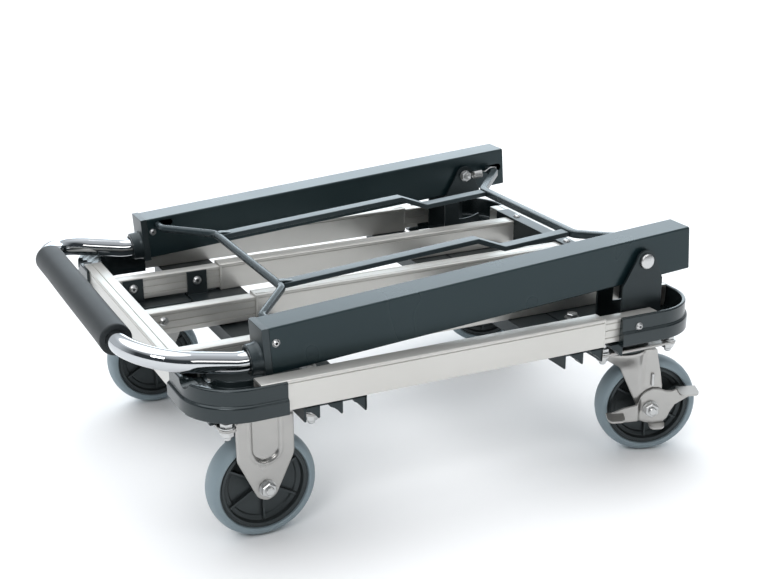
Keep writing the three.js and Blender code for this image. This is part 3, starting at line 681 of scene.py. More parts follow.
def extrusion(node, lengthwise, side_grooves, top_grooves, finish, body, wall=0.0024):
    """A hollow rail in a CAD rail's place."""
    lo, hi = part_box(node)
    along, across = (0, 1) if lengthwise == "x" else (1, 0)
    width = hi[across] - lo[across]
    height = hi.z - lo.z
    middle = (lo[across] + hi[across]) / 2
    outline = rail_outline(width, height, side_grooves, top_grooves)
    bore = [(a, b - height / 2) for a, b in soft_square(width / 2 - wall, height / 2 - wall, 0.001, 2)]

    def placed(a, b, distance):
        point = Vector((0, 0, hi.z + b))
        point[along] = distance
        point[across] = middle + a
        return point

    bm = bmesh.new()
    ends = []
    for distance in (lo[along], hi[along]):
        loops = [[bm.verts.new(placed(a, b, distance)) for a, b in shape] for shape in (outline, bore)]
        ends.append(loops)
    for near, far in zip(*ends):
        count = len(near)
        for i in range(count):
            k = (i + 1) % count
            bm.faces.new((near[i], near[k], far[k], far[i]))
    for loops in ends:
        rim = [bm.edges.get((loop[i], loop[(i + 1) % len(loop)])) for loop in loops for i in range(len(loop))]
        bmesh.ops.triangle_fill(bm, edges=rim, use_beauty=True, use_dissolve=False)
    return piece(f"{node}_extrusion", to_mesh(bm, node), finish, body, node, smooth=30)


OUTER_SIDE_GROOVES = [0.0036]
INNER_SIDE_GROOVES = [0.0042, 0.0125, 0.0215]
CENTRE_TOP_GROOVES = [0.0066, -0.0066]
CROSS_TOP_GROOVE = 0.0022

for side, _ in SIDES:
    extrusion(f"side_rail_{side}", "x", OUTER_SIDE_GROOVES, [], ALU_X, "front_frame")
    extrusion(f"side_slide_{side}", "x", INNER_SIDE_GROOVES, [], ALU_X, "rear_frame")
for place in ("left", "middle", "right"):
    extrusion(f"centre_rail_{place}", "x", OUTER_SIDE_GROOVES, CENTRE_TOP_GROOVES, ALU_X, "rear_frame")
    extrusion(f"centre_slide_{place}", "x", INNER_SIDE_GROOVES, [], ALU_X, "front_frame")
extrusion("front_cross_tube", "y", OUTER_SIDE_GROOVES, [-CROSS_TOP_GROOVE], ALU_Y, "front_frame")
extrusion("rear_cross_tube", "y", OUTER_SIDE_GROOVES, [CROSS_TOP_GROOVE], ALU_Y, "rear_frame")


def rail_collar(name, rail, at_high_end, body):
    """The thin collar pressed into an outer rail's mouth, round the inner rail."""
    lo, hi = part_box(rail)
    inward = -1 if at_high_end else 1
    mouth = hi.x if at_high_end else lo.x
    middle = Vector((0, (lo.y + hi.y) / 2, (lo.z + hi.z) / 2))
    half_w = (hi.y - lo.y) / 2
    half_h = (hi.z - lo.z) / 2
    rings = []
    for grow, reach in ((0.0, 0.0), (0.0004, -0.0006), (0.0004, -0.0018), (0.0, -0.0022)):
        rings.append([
            middle + Vector((mouth + inward * reach, a, b))
            for a, b in soft_square(half_w + grow - 0.0002, half_h + grow - 0.0002, 0.0011, 3)
        ])
    for reach in (-0.0022, 0.0):
        rings.append([
            middle + Vector((mouth + inward * reach, a, b))
            for a, b in soft_square(half_w - 0.0024, half_h - 0.0024, 0.0008, 3)
        ])
    tab = block(
        (mouth + inward * 0.012 if inward < 0 else mouth, lo.y + 0.006, hi.z - 0.0002),
        (mouth if inward < 0 else mouth + 0.012, lo.y + 0.0078, hi.z + 0.0005),
        name,
    )
    ring = loft(rings, name, round_and_round=True)
    return piece(name, joined([ring, tab], name), ALU_X, body, smooth=50)


for place in ("left", "middle", "right"):
    rail_collar(f"centre_rail_collar_{place}", f"centre_rail_{place}", False, "rear_frame")
for side, _ in SIDES:
    rail_collar(f"side_rail_collar_{side}", f"side_rail_{side}", True, "front_frame")


# ---------------------------------------------------------------- corner mouldings
CORNER_R = 0.063
CORNER_REACH = 0.270
CORNER_ARM = 0.101
# Sections of the mouldings: (inwards from the outer face, height).
OUTER_FACE = [
    (0.0008, 0.169), (0.0, 0.1698), (0.0, 0.1838), (0.0004, 0.1852), (0.0014, 0.186),
    (0.0026, 0.1866), (0.003, 0.1876), (0.003, 0.2022), (0.0034, 0.2033), (0.0044, 0.204),
]
FRONT_SECTION = OUTER_FACE + [
    (0.0068, 0.204), (0.0078, 0.2036), (0.0084, 0.2024), (0.0090, 0.2012), (0.0100, 0.2008),
    (0.0128, 0.2008), (0.0138, 0.2004), (0.0143, 0.1994), (0.0150, 0.1986), (0.0160, 0.1983),
    (0.0188, 0.1983), (0.0198, 0.1979), (0.0203, 0.1969), (0.0210, 0.1962), (0.0220, 0.196),
    (0.0278, 0.196), (0.0284, 0.1966), (0.0284, 0.2022), (0.0290, 0.203), (0.0306, 0.203),
    (0.0312, 0.2022), (0.0312, 0.169),
]
REAR_SECTION = OUTER_FACE + [
    (0.0062, 0.204), (0.0072, 0.2035), (0.0077, 0.2024), (0.0084, 0.184), (0.0092, 0.180),
    (0.0110, 0.1785), (0.0272, 0.1785), (0.0278, 0.179), (0.0278, 0.169),
]


def corner_sweep(node, s, inward, section):
    """The moulding's section swept round the corner, from one arm's end to the other's."""
    lo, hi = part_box(node)
    outer_x, end_x = (lo.x, hi.x) if inward > 0 else (hi.x, lo.x)
    centre = Vector((outer_x + inward * CORNER_R, s * (CORNER_REACH - CORNER_R), 0))
    stations = [(Vector((end_x, s * CORNER_REACH, 0)), Vector((0, -s, 0)))]
    steps = 28
    for i in range(steps + 1):
        a = math.pi / 2 * i / steps
        out = Vector((-inward * math.sin(a), s * math.cos(a), 0))
        stations.append((centre + out * CORNER_R, -out))
    stations.append((Vector((outer_x, s * (CORNER_REACH - CORNER_ARM), 0)), Vector((inward, 0, 0))))
    rings = [[p + n * d + Vector((0, 0, z)) for d, z in section] for p, n in stations]
    return loft(rings, node)


def leg_saddle(s):
    """The room that a leg of the loop takes when it is drawn out over the front moulding."""
    path = [on_slope(UPRIGHT_END - 0.25, s * UPRIGHT_Y, -LEG_DROP), on_slope(-0.2, s * UPRIGHT_Y, -LEG_DROP)]
    return sweep(path, round_section(LEG_R + 0.0012, 40), SLOPE_UP, "leg_saddle")


POCKET_GAP = 0.0003
POCKET_TOP = 0.22  # well above the mouldings


def tube_pocket(tube, s):
    """The room that an end tube takes in a moulding."""
    lo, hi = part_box(tube)
    inner, outer = sorted((s * 0.15, s * (hi.y + POCKET_GAP)))
    low = (lo.x - POCKET_GAP, inner, lo.z - POCKET_GAP)
    high = (hi.x + POCKET_GAP, outer, POCKET_TOP)
    return block(low, high, "pocket")


def rail_pocket(rail, inward):
    """The room that a side rail takes in a moulding."""
    lo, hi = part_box(rail)
    x0, x1 = (lo.x - POCKET_GAP, lo.x + 0.2) if inward > 0 else (hi.x - 0.2, hi.x + POCKET_GAP)
    return block((x0, lo.y - POCKET_GAP, lo.z - POCKET_GAP), (x1, hi.y + POCKET_GAP, POCKET_TOP), "pocket")


def mount_seat(s):
    """The room that the caster mounts take under a moulding."""
    inner, outer = sorted((0, s * (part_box("rear_caster_mount_left")[1].y + POCKET_GAP)))
    return block((-0.5, inner, 0.16), (0.5, outer, STEEL_TOP + POCKET_GAP), "seat")


for side, s in SIDES:
    front = carve(
        corner_sweep(f"front_corner_{side}", s, 1, FRONT_SECTION),
        [
            tube_pocket("front_cross_tube", s),
            rail_pocket(f"side_rail_{side}", 1),
            mount_seat(s),
            leg_saddle(s),
        ],
        f"front_corner_{side}_cut",
    )
    flat_faces_first(
        piece(f"front_corner_{side}_moulding", front, CORNER_PLASTIC, "front_frame", f"front_corner_{side}",
              smooth=46)
    )
    rear = carve(
        corner_sweep(f"rear_corner_{side}", s, -1, REAR_SECTION),
        [tube_pocket("rear_cross_tube", s), rail_pocket(f"side_slide_{side}", -1), mount_seat(s)],
        f"rear_corner_{side}_cut",
    )
    flat_faces_first(
        piece(f"rear_corner_{side}_moulding", rear, CORNER_PLASTIC, "rear_frame", f"rear_corner_{side}",
              smooth=46)
    )


# ---------------------------------------------------------------- black steel under the rails
def eased(node, suffix, finish, body, width=0.0006, shortest=0.004, along=None):
    """A CAD node's own shape as a piece, with its edges rounded over."""
    shape = eased_copy(node, width, shortest, along)
    return flat_faces_first(piece(f"{node}_{suffix}", shape, finish, body, node, smooth=50))


eased("front_channel", "pressing", BLACK_STEEL, "front_frame")
eased("rear_channel", "pressing", BLACK_STEEL, "rear_frame")
eased("rear_end_strip", "pressing", BLACK_STEEL, "rear_frame")
for side, _ in SIDES:
    eased(f"front_caster_mount_{side}", "section", BLACK_STEEL, "front_frame", 0.0012)
    eased(f"rear_caster_mount_{side}", "section", BLACK_STEEL, "rear_frame", 0.0012)
    eased(f"pivot_bracket_{side}", "pressing", BLACK_STEEL, "rear_frame", 0.0005, 0.003)


def claws(name, edges, body):
    """The pointed lips turned down where the cross pressings meet the side rails."""
    claw = [(0.0, 0.1704), (0.0, 0.1560), (-0.0008, 0.1548), (-0.0022, 0.1552), (-0.0060, 0.1598),
            (-0.0100, 0.1630), (-0.0145, 0.1652), (-0.0170, 0.1690), (-0.0172, 0.1704)]
    lip_y = (0.2500, 0.2620)
    parts = []
    for x in edges:
        for _, s in SIDES:
            rings = [[Vector((x + a, s * y, z)) for a, z in claw] for y in lip_y]
            parts.append(loft(rings, "claw"))
    piece(name, joined(parts, name), BLACK_STEEL, body)


claws("front_channel_claws", (-0.1620, -0.1358, -0.1079), "front_frame")
claws("rear_channel_claws", (0.1660, 0.1927, 0.2205), "rear_frame")


# ---------------------------------------------------------------- wheels
def swivel_axes(side):
    """(forward, sideways) of a parked swivel caster, and its kingpin on the floor."""
    axis = Vector(JOINT[f"rear_wheel_spin_{side}"]["axis"]).normalized()
    forward = Vector((axis.y, -axis.x, 0))
    kingpin = Vector(JOINT[f"caster_swivel_{side}"]["pos_m"])
    kingpin.z = 0
    return forward, axis, kingpin


def wheel(prefix, side, centre, axis, body):
    """Tyre, wheel centre and ribs."""
    half = 0.015
    tread = [(RIM_R + 0.0002, -half + 0.001), (RIM_R + 0.0012, -half), (WHEEL_R - 0.0082, -half)]
    for i in range(13):
        a = math.radians(-90 + 15 * i)
        tread.append((WHEEL_R - 0.0075 + 0.0075 * math.cos(a), (half - 0.0002) * math.sin(a)))
    tread += [(WHEEL_R - 0.0082, half), (RIM_R + 0.0012, half), (RIM_R + 0.0002, half - 0.001)]
    piece(f"{prefix}_tyre_{side}_rubber", lathe(tread, centre, axis, "tyre", 112), TYRE, body,
          f"{prefix}_tyre_{side}", smooth=35)
    rim = 0.012
    disc = [
        (0.0053, -0.0168), (0.0122, -0.0168), (0.0128, -0.0162), (0.0142, -0.0042), (0.0152, -0.0032),
        (0.0385, -0.0032), (0.0392, -0.0036), (0.0398, -0.0052), (0.0404, -0.0056), (0.0436, -0.006),
        (0.0446, -0.0066), (0.0454, -rim + 0.0008), (0.0460, -rim), (0.0490, -rim), (0.0494, -rim + 0.0008),
        (0.0500, -rim + 0.0008), (RIM_R - 0.0004, -rim + 0.0004), (RIM_R, -rim + 0.0012),
    ]
    centre_mesh = lathe(disc + [(r, -d) for r, d in disc[::-1]], centre, axis, "wheel_centre", 96)
    piece(f"{prefix}_hub_{side}_moulding", centre_mesh, HUB_PLASTIC, body, f"{prefix}_hub_{side}")
    up = Vector((0, 0, 1))
    turned = Matrix((up, axis.cross(up), axis)).transposed()
    grown(f"{prefix}_hub_{side}_ribs", WHEEL_RIBS, [(centre, turned)], HUB_PLASTIC, body)


for side, _ in SIDES:
    centre = Vector(JOINT[f"front_wheel_spin_{side}"]["pos_m"])
    wheel("front", side, centre, Vector((0, 1, 0)), f"front_wheel_{side}")
    centre = Vector(JOINT[f"rear_wheel_spin_{side}"]["pos_m"])
    wheel("rear", side, centre, swivel_axes(side)[1], f"rear_wheel_{side}")


# ---------------------------------------------------------------- caster forks
def blend_step(value, start, end):
    """0 before start, 1 after end, smooth between."""
    t = min(max((value - start) / (end - start), 0), 1)
    return t * t * (3 - 2 * t)


def interpolated(table, value):
    """Straight-line reading of a table of (value, result), in rising order."""
    for (a, fa), (b, fb) in zip(table, table[1:]):
        if value <= b:
            return fa + (fb - fa) * max(value - a, 0) / (b - a)
    return table[-1][1]


def pressed_sheet(edges, offset, place, thickness, stations, name, columns=36):
    """A sheet between two edges that are read at each station. offset(x, z) pushes it outwards."""
    bm = bmesh.new()
    skins = []
    for depth in (0, thickness):
        rows = []
        for z in stations:
            left, right = edges(z)
            row = []
            for i in range(columns + 1):
                t = i / columns
                x = left + (right - left) * t
                rim = min(t, 1 - t) * (right - left)
                ease = 0.0007 * (1 - min(rim / 0.0012, 1)) * (1 if depth else -1)
                row.append(bm.verts.new(place(x, offset(x, z) + depth - ease, z)))
            rows.append(row)
        skins.append(rows)
    inner, outer = skins
    last = len(stations) - 1
    for j in range(last):
        for i in range(columns):
            for skin in skins:
                bm.faces.new((skin[j][i], skin[j][i + 1], skin[j + 1][i + 1], skin[j + 1][i]))
        for i in (0, columns):
            bm.faces.new((inner[j][i], inner[j + 1][i], outer[j + 1][i], outer[j][i]))
    for j in (0, last):
        for i in range(columns):
            bm.faces.new((inner[j][i], inner[j][i + 1], outer[j][i + 1], outer[j][i]))
    return to_mesh(bm, name)


def height_stations(low, high, round_r, count=44):
    """Heights from low to high, closer together at the round end."""
    tip = [low + round_r * (1 - math.cos(math.pi / 2 * i / 14)) for i in range(15)]
    rest = [tip[-1] + (high - tip[-1]) * i / count for i in range(1, count + 1)]
    return tip + rest


def round_tip(z, centre_z, r):
    return math.sqrt(max(r * r - (z - centre_z) ** 2, 0)) + 1e-5


FIXED_TIP_R = 0.014
FIXED_TIP_END = 0.05654  # height at which the round tip runs into the leg's straight edge
SWIVEL_TIP_R = 0.015


def fixed_leg_edges(z):
    if z < FIXED_TIP_END:
        half = round_tip(z, WHEEL_R, FIXED_TIP_R)
    else:
        half = interpolated([(FIXED_TIP_END, 0.01267), (0.098, 0.0322), (0.102, 0.033), (0.2, 0.033)], z)
    return -half, half


def fixed_leg_offset(x, z):
    """The pressed rib: a round-ended trough that runs up into the top plate."""
    foot = 0.1105
    across = abs(x) if z > foot else math.hypot(x, z - foot)
    trough = 1 - blend_step(across, 0.0138, 0.0168)
    lip = blend_step(across, 0.0168, 0.0186) * (1 - blend_step(across, 0.0186, 0.0212))
    fold = 0.0008 * blend_step(abs(x), 0.0305, 0.033)
    bend = 0.0012 * blend_step(z, PLATE_BOTTOM - 0.003, PLATE_BOTTOM + 0.0008)
    return -0.0030 * trough + 0.0006 * lip - fold - bend


SWIVEL_LEFT = [
    (0.0574, -0.0141), (0.070, -0.0190), (0.112, -0.038), (0.118, -0.0415), (0.129, -0.0585), (0.139, -0.064),
]
SWIVEL_RIGHT = [(0.0656, 0.01467), (0.092, 0.0142), (0.110, 0.0108), (0.130, 0.0065), (0.139, 0.005)]
TRAIL = 0.037
RACE_R = 0.033


def swivel_leg_edges(z):
    left_starts, right_starts = SWIVEL_LEFT[0][0], SWIVEL_RIGHT[0][0]
    if z < left_starts:
        half = round_tip(z, WHEEL_R, SWIVEL_TIP_R)
        return -half, half
    right = round_tip(z, WHEEL_R, SWIVEL_TIP_R) if z < right_starts else interpolated(SWIVEL_RIGHT, z)
    return interpolated(SWIVEL_LEFT, z), right


def swivel_leg_offset(x, z):
    """The leg flares out to meet the round crown, behind an upright crease."""
    from_kingpin = x + TRAIL
    crown_edge = math.sqrt(max(RACE_R ** 2 - from_kingpin ** 2, 0)) - FORK_OUTER
    flare = max(crown_edge, 0) * blend_step(z, 0.112, CROWN_TOP)
    crease = 0.0012 * (1 - blend_step(abs(x + 0.0125), 0.0, 0.005)) * blend_step(z, 0.075, 0.1)
    return flare - crease - 0.0016 * blend_step(-x, 0.0125, 0.030) * blend_step(z, 0.07, 0.11)


def waisted_plate():
    """The fixed fork's plate: full width at its bolted ends, the legs' width between them."""
    quarter = arc(0.049, 0.035, 0.007, 0, 90, 6) + arc(0.0445, 0.036, 0.006, 90, 180, 6)
    quarter += arc(0.0345, 0.0245, 0.004, 0, -90, 5)
    half = quarter + [(-a, b) for a, b in quarter[::-1]]
    return half + [(-a, -b) for a, b in half]


def caster_top_plate(centre, outline, name):
    """The flat plate that is bolted up against the mount."""
    def place(a, b, depth):
        return centre + Vector((a, b, PLATE_BOTTOM + depth))
    return plate(outline, place, PLATE, name, edge=0.0006)


def fixed_fork(side):
    centre = Vector(JOINT[f"front_wheel_spin_{side}"]["pos_m"])
    centre.z = 0
    parts = [caster_top_plate(centre, waisted_plate(), "top_plate")]
    heights = height_stations(WHEEL_R - FIXED_TIP_R, PLATE_BOTTOM + 0.0008, 0.013, 96)
    for way in (1, -1):
        def place(x, out, z, way=way):
            return centre + Vector((x, way * (FORK_INNER + out), z))
        parts.append(pressed_sheet(fixed_leg_edges, fixed_leg_offset, place, LEG_SHEET, heights, "leg", 96))
    fork = joined(parts, f"fixed_fork_{side}_pressing")
    piece(f"fixed_fork_{side}_pressing", fork, ZINC, "front_frame", f"fixed_fork_{side}", smooth=38)
    nut = FORK_OUTER + 0.0001
    places = [(centre + Vector((0, way * nut, WHEEL_R)), (0, way, 0)) for way in (1, -1)]
    grown(f"front_axle_{side}_nuts", HEXAGON, places, FASTENER, "front_frame", f"front_axle_{side}",
          **FRONT_AXLE_NUT)


def swivel_caster(side, s):
    forward, sideways, kingpin = swivel_axes(side)
    body = f"swivel_{side}"
    wheel_mid = kingpin + forward * TRAIL
    heights = height_stations(WHEEL_R - SWIVEL_TIP_R, CROWN_TOP, 0.012)
    parts = []
    for way in (1, -1):
        def place(x, out, z, way=way):
            return wheel_mid + forward * x + sideways * way * (FORK_INNER + out) + Vector((0, 0, z))
        parts.append(pressed_sheet(swivel_leg_edges, swivel_leg_offset, place, LEG_SHEET, heights, "leg", 48))
    crown = [
        (0.0065, CROWN_TOP - 0.003), (0.0300, CROWN_TOP - 0.003), (0.0328, CROWN_TOP - 0.0042),
        (0.0338, CROWN_TOP - 0.0036), (0.0336, CROWN_TOP - 0.0006), (0.0326, CROWN_TOP),
        (0.0270, CROWN_TOP), (0.0250, CROWN_TOP - 0.001), (0.0065, CROWN_TOP - 0.001),
    ]
    parts.append(lathe(crown, kingpin, (0, 0, 1), "crown", 80))

    def bridge_place(a, b, depth):
        return wheel_mid + forward * (a - 0.0295) + sideways * b + Vector((0, 0, CROWN_TOP - 0.003 + depth))
    parts.append(plate(soft_square(0.0345, 0.0203, 0.004, 4), bridge_place, 0.0026, "crown_bridge"))
    fork = joined(parts, f"swivel_fork_{side}_pressing")
    piece(f"swivel_fork_{side}_pressing", fork, ZINC, body, f"swivel_fork_{side}", smooth=42)

    axle = Vector((wheel_mid.x, wheel_mid.y, WHEEL_R))
    outward = sideways * s
    lever_face = FORK_OUTER + 0.0031
    places = [(axle + outward * lever_face, outward)]
    grown(f"rear_axle_{side}_nut", HEXAGON, places, FASTENER, body, f"rear_axle_{side}", **REAR_AXLE_NUT)
    grown(f"rear_axle_{side}_head", HEXAGON, [(axle - outward * FORK_OUTER, -outward)], FASTENER, body,
          **REAR_AXLE_HEAD)
    peg_foot = axle + outward * (FORK_OUTER + 0.0018) + forward * 0.001
    peg = rounded_path([peg_foot + Vector((0, 0, z)) for z in (0.030, 0.040, 0.0455)], [0.003])
    piece(f"brake_spring_{side}", sweep(peg, round_section(0.0018, 16), forward, "peg"), FASTENER, body)

    # The plate above the race: it stays with the deck.
    race = [
        (0.0002, 0.1302), (0.0095, 0.1302), (0.0100, 0.1308), (0.0100, 0.1350), (0.0060, 0.1354),
        (0.0060, 0.1402), (0.0250, 0.1402), (0.0300, 0.1400), (0.0312, 0.1408), (0.0314, 0.1430),
        (0.0306, 0.1436), (0.0306, 0.1442), (0.0320, 0.1448), (0.0320, 0.1462),
        (0.0312, PLATE_BOTTOM + 0.0004), (0.0002, PLATE_BOTTOM + 0.0004),
    ]
    deck_parts = [
        caster_top_plate(kingpin, soft_square(0.056, 0.042, 0.007, 6), "top_plate"),
        lathe(race, kingpin, (0, 0, 1), "race", 80),
    ]
    piece(f"swivel_plate_{side}_pressing", joined(deck_parts, "swivel_plate"), ZINC, "rear_frame",
          f"swivel_plate_{side}")
    seal = [
        (0.0290, 0.1396), (0.0322, 0.1396), (0.0328, 0.1404), (0.0326, 0.1436), (0.0316, 0.1446),
        (0.0290, 0.1446),
    ]
    piece(f"swivel_seal_{side}", lathe(seal, kingpin, (0, 0, 1), "seal", 80), CORNER_PLASTIC, "rear_frame")


# The lever's upper and lower edges: (forward of the axle, above it).
LEVER_TOP = [
    (-0.057, -0.0045), (-0.050, 0.000), (-0.036, 0.0055), (-0.020, 0.0085), (-0.0155, 0.0125),
    (-0.012, 0.0185), (-0.006, 0.0235), (0.002, 0.0265), (0.010, 0.0258), (0.018, 0.0228),
    (0.026, 0.0222), (0.036, 0.0255),
    (0.045, 0.0268), (0.0525, 0.0205), (0.055, 0.0172),
]
LEVER_BOTTOM = [
    (-0.057, -0.006), (-0.053, -0.0115), (-0.046, -0.0145), (-0.018, -0.0138), (-0.008, -0.0175),
    (-0.001, -0.0195), (0.004, -0.0205), (0.016, -0.0195), (0.022, -0.0140), (0.025, -0.0070),
    (0.031, 0.0030), (0.045, 0.0110), (0.055, 0.0165),
]


def lever_edges(x):
    return interpolated(LEVER_BOTTOM, x), interpolated(LEVER_TOP, x)


def brake_lever(side, s):
    forward, sideways, kingpin = swivel_axes(side)
    axle = kingpin + forward * TRAIL + Vector((0, 0, WHEEL_R))
    outward = sideways * s
    face = FORK_OUTER + 0.0004

    def web_place(z, out, x):
        return axle + forward * x + outward * (face + out) + Vector((0, 0, z))

    def web_offset(z, x):
        return 0.0065 * blend_step(-x, 0.0125, 0.0185)

    stations = [-0.057 + 0.112 * i / 70 for i in range(71)]
    web = pressed_sheet(lever_edges, web_offset, web_place, 0.0024, stations, "web", 20)

    def pad(x0, x1, z, depth, tilt, thickness=0.0024):
        """A pad folded out from the web, its free corners rounded."""
        half = (x1 - x0) / 2

        def place(a, b, lift):
            out = face + depth[0] + (b + 1) / 2 * (depth[1] - depth[0])
            drop = tilt * (b + 1) / 2
            return axle + forward * (x0 + half + a) + outward * out + Vector((0, 0, z + lift - drop))
        share = 2 / (depth[1] - depth[0])
        r = min(0.006, half)
        outline = [(half, -1), (half, 1 - r * share)]
        outline += [(half - r + r * math.cos(t), 1 - r * share + r * share * math.sin(t))
                    for t in (math.pi / 2 * i / 6 for i in range(1, 7))]
        outline += [(-half + r - r * math.sin(t), 1 - r * share + r * share * math.cos(t))
                    for t in (math.pi / 2 * i / 6 for i in range(0, 7))]
        outline += [(-half, -1)]
        return plate(outline, place, thickness, "pad", edge=0.0003)

    parts = [
        web,
        pad(0.031, 0.0555, 0.0240, (0.0006, 0.0195), 0.003),
        pad(-0.0575, -0.036, -0.0028, (0.0070, 0.0205), 0.006),
        pad(-0.001, 0.019, -0.0222, (0.0004, 0.0085), 0.004),
    ]
    piece(f"brake_lever_{side}_pressing", joined(parts, "lever"), ZINC, f"brake_{side}",
          f"brake_lever_{side}", smooth=42)


for side, s in SIDES:
    fixed_fork(side)
    swivel_caster(side, s)
    brake_lever(side, s)


# ---------------------------------------------------------------- handle
for side, s in SIDES:
    eased(f"upright_{side}", "tube", UPRIGHT_COAT, "handle_uprights", 0.0018, 0.02, DRAW)
    eased(f"upright_cap_{side}", "moulding", CAP_PLASTIC, "handle_uprights", 0.0005, 0.006)
    centre = on_slope(UPRIGHT_END - 0.0083, s * UPRIGHT_Y, -LEG_DROP)
    collar = [
        (0.0119, -0.001), (0.0119, 0.0113), (0.0128, 0.0121), (0.0158, 0.0122), (0.0170, 0.0114),
        (0.0174, 0.0098), (0.0175, 0.0050), (0.0179, 0.0022), (0.0188, 0.0004), (0.0188, -0.001),
    ]
    piece(f"upright_collar_{side}", lathe(collar, centre, DRAW, "collar", 56), CAP_PLASTIC, "handle_uprights")

loop_path = rounded_path(
    [
        on_slope(-0.088, -UPRIGHT_Y, -LEG_DROP),
        on_slope(LOOP_KINK_U, -UPRIGHT_Y, -LEG_DROP),
        on_slope(CROSS_U, -UPRIGHT_Y, CROSS_W),
        on_slope(CROSS_U, UPRIGHT_Y, CROSS_W),
        on_slope(LOOP_KINK_U, UPRIGHT_Y, -LEG_DROP),
        on_slope(-0.088, UPRIGHT_Y, -LEG_DROP),
    ],
    [LOOP_KINK_R, LOOP_BEND_R, LOOP_BEND_R, LOOP_KINK_R],
    steps=28,
)
piece("handle_loop_tube", sweep(loop_path, round_section(LEG_R, 48), SLOPE_UP, "loop"), CHROME,
      "handle_loop_body", "handle_loop", smooth=35)

GRIP_HALF = 0.150
grip_profile = [(0.0117, -GRIP_HALF), (0.0160, -GRIP_HALF), (0.0168, -GRIP_HALF + 0.0003)]
grip_profile += [(0.01745, -GRIP_HALF + 0.0014), (0.0175, -GRIP_HALF + 0.004)]
grip_profile += [(0.0173 - 0.0001 * math.cos(math.pi * i / 6), -0.11 + 0.22 * i / 12) for i in range(13)]
grip_profile += [(0.0175, GRIP_HALF - 0.004), (0.01745, GRIP_HALF - 0.0014), (0.0168, GRIP_HALF - 0.0003)]
grip_profile += [(0.0160, GRIP_HALF), (0.0117, GRIP_HALF)]
grip_mesh = lathe(grip_profile, on_slope(CROSS_U, 0, CROSS_W), (0, 1, 0), "grip", 72)
grip = piece("foam_grip_sleeve", grip_mesh, FOAM,
             "handle_loop_body", "foam_grip", smooth=50)


def bent_rod(name, node, u, w, setback, section, swollen=1.0):
    tip = 0.205
    corners = [
        on_slope(u, -tip, w),
        on_slope(u, -0.176, w),
        on_slope(u + setback, -0.112, w),
        on_slope(u + setback, 0.112, w),
        on_slope(u, 0.176, w),
        on_slope(u, tip, w),
    ]
    path = rounded_path(corners, [0.014, 0.022, 0.022, 0.014], steps=14)
    reach = [(0, swollen), (0.170, swollen), (0.186, 1.0), (0.3, 1.0)]
    bar = sweep(path, section, SLOPE_UP, name, lambda p: interpolated(reach, abs(p.y)))
    piece(name, bar, ROD_PAINT, "release_frame", node, smooth=35)


RELEASE_U = -0.453
RELEASE_W = 0.0175
LOCK_U = 0.042
bent_rod("release_rod_bar", "release_rod", RELEASE_U, RELEASE_W, 0.050, round_section(0.004, 28), 1.22)
bent_rod("lock_bar_bar", "lock_bar", LOCK_U, 0.0, -0.057, soft_square(0.0049, 0.0044, 0.0014, 4))

for side, s in SIDES:
    eased(f"release_link_{side}", "strip", LINK_PAINT, "release_frame", 0.0009)
    y = s * 0.102
    tongue = [on_slope(-0.4025, y, RELEASE_W + 0.0046), on_slope(-0.3975, y, RELEASE_W + 0.0044),
              on_slope(-0.392, y, RELEASE_W + 0.0034), on_slope(-0.386, y, RELEASE_W + 0.0018)]
    tongue_mesh = sweep(tongue, soft_square(0.0048, 0.0009, 0.0007), SLOPE_UP, "tongue")
    piece(f"release_link_{side}_tongue", tongue_mesh,
          ROD_PAINT, "release_frame")

    # The pivot pin: a domed head outside, a nut inside.
    lo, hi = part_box(f"pivot_pin_{side}")
    outer = hi.y if s > 0 else -lo.y
    head = [
        (0.0001, -0.050), (0.0050, -0.050), (0.0050, -0.0042), (0.0084, -0.0040), (0.0090, -0.0032),
        (0.0090, -0.0014), (0.0086, -0.0006), (0.0078, -0.0001), (0.0001, 0.0),
    ]
    centre = Vector((PIVOT.x, s * outer, PIVOT.z))
    pin = lathe(head, centre, (0, s, 0), "pin_head", 48)
    piece(f"pivot_pin_{side}_head", pin, FASTENER, "rear_frame", f"pivot_pin_{side}")
    grown(f"pivot_pin_{side}_nut", HEXAGON, [(Vector((PIVOT.x, s * 0.1888, PIVOT.z)), (0, -s, 0))], FASTENER,
          "rear_frame", **PIVOT_NUT)

    # The lock spring: coils from the pivot bolt to the lock bar.
    y = s * 0.1830
    start = on_slope(0.0105, y, 0)
    grown(f"lock_spring_{side}_coils", COIL_SPRING, [(start, -DRAW)], FASTENER, "handle_uprights",
          f"lock_spring_{side}", Coil_Radius=0.0050, Wire_Radius=0.00065, Length=0.0125, Turns=9.0)
    hook = [on_slope(u, y, w) for u, w in (
        (0.0235, 0.0050), (0.0260, 0.0030), (0.0300, 0.0020), (0.0345, 0.0040), (0.0375, 0.0058),
        (0.0420, 0.0062), (0.0465, 0.0056), (0.0482, 0.0035))]
    piece(f"lock_spring_{side}_hook", sweep(hook, round_section(0.0007, 10), SLOPE_UP, "hook"), FASTENER,
          "handle_uprights")


# ---------------------------------------------------------------- screws, bolts and nuts
def upright_screws():
    """A screw through each side of the upright into its cap."""
    u, w = -0.4608, 0.0085
    outer_y, inner_y = 0.2341, 0.1959
    places = []
    for _, s in SIDES:
        places.append((on_slope(u, s * outer_y, w), (0, s, 0)))
        places.append((on_slope(u, s * inner_y, w), (0, -s, 0)))
    grown("upright_cap_screws", BUTTON_SCREW, places, FASTENER, "handle_uprights", **CAP_SCREW)


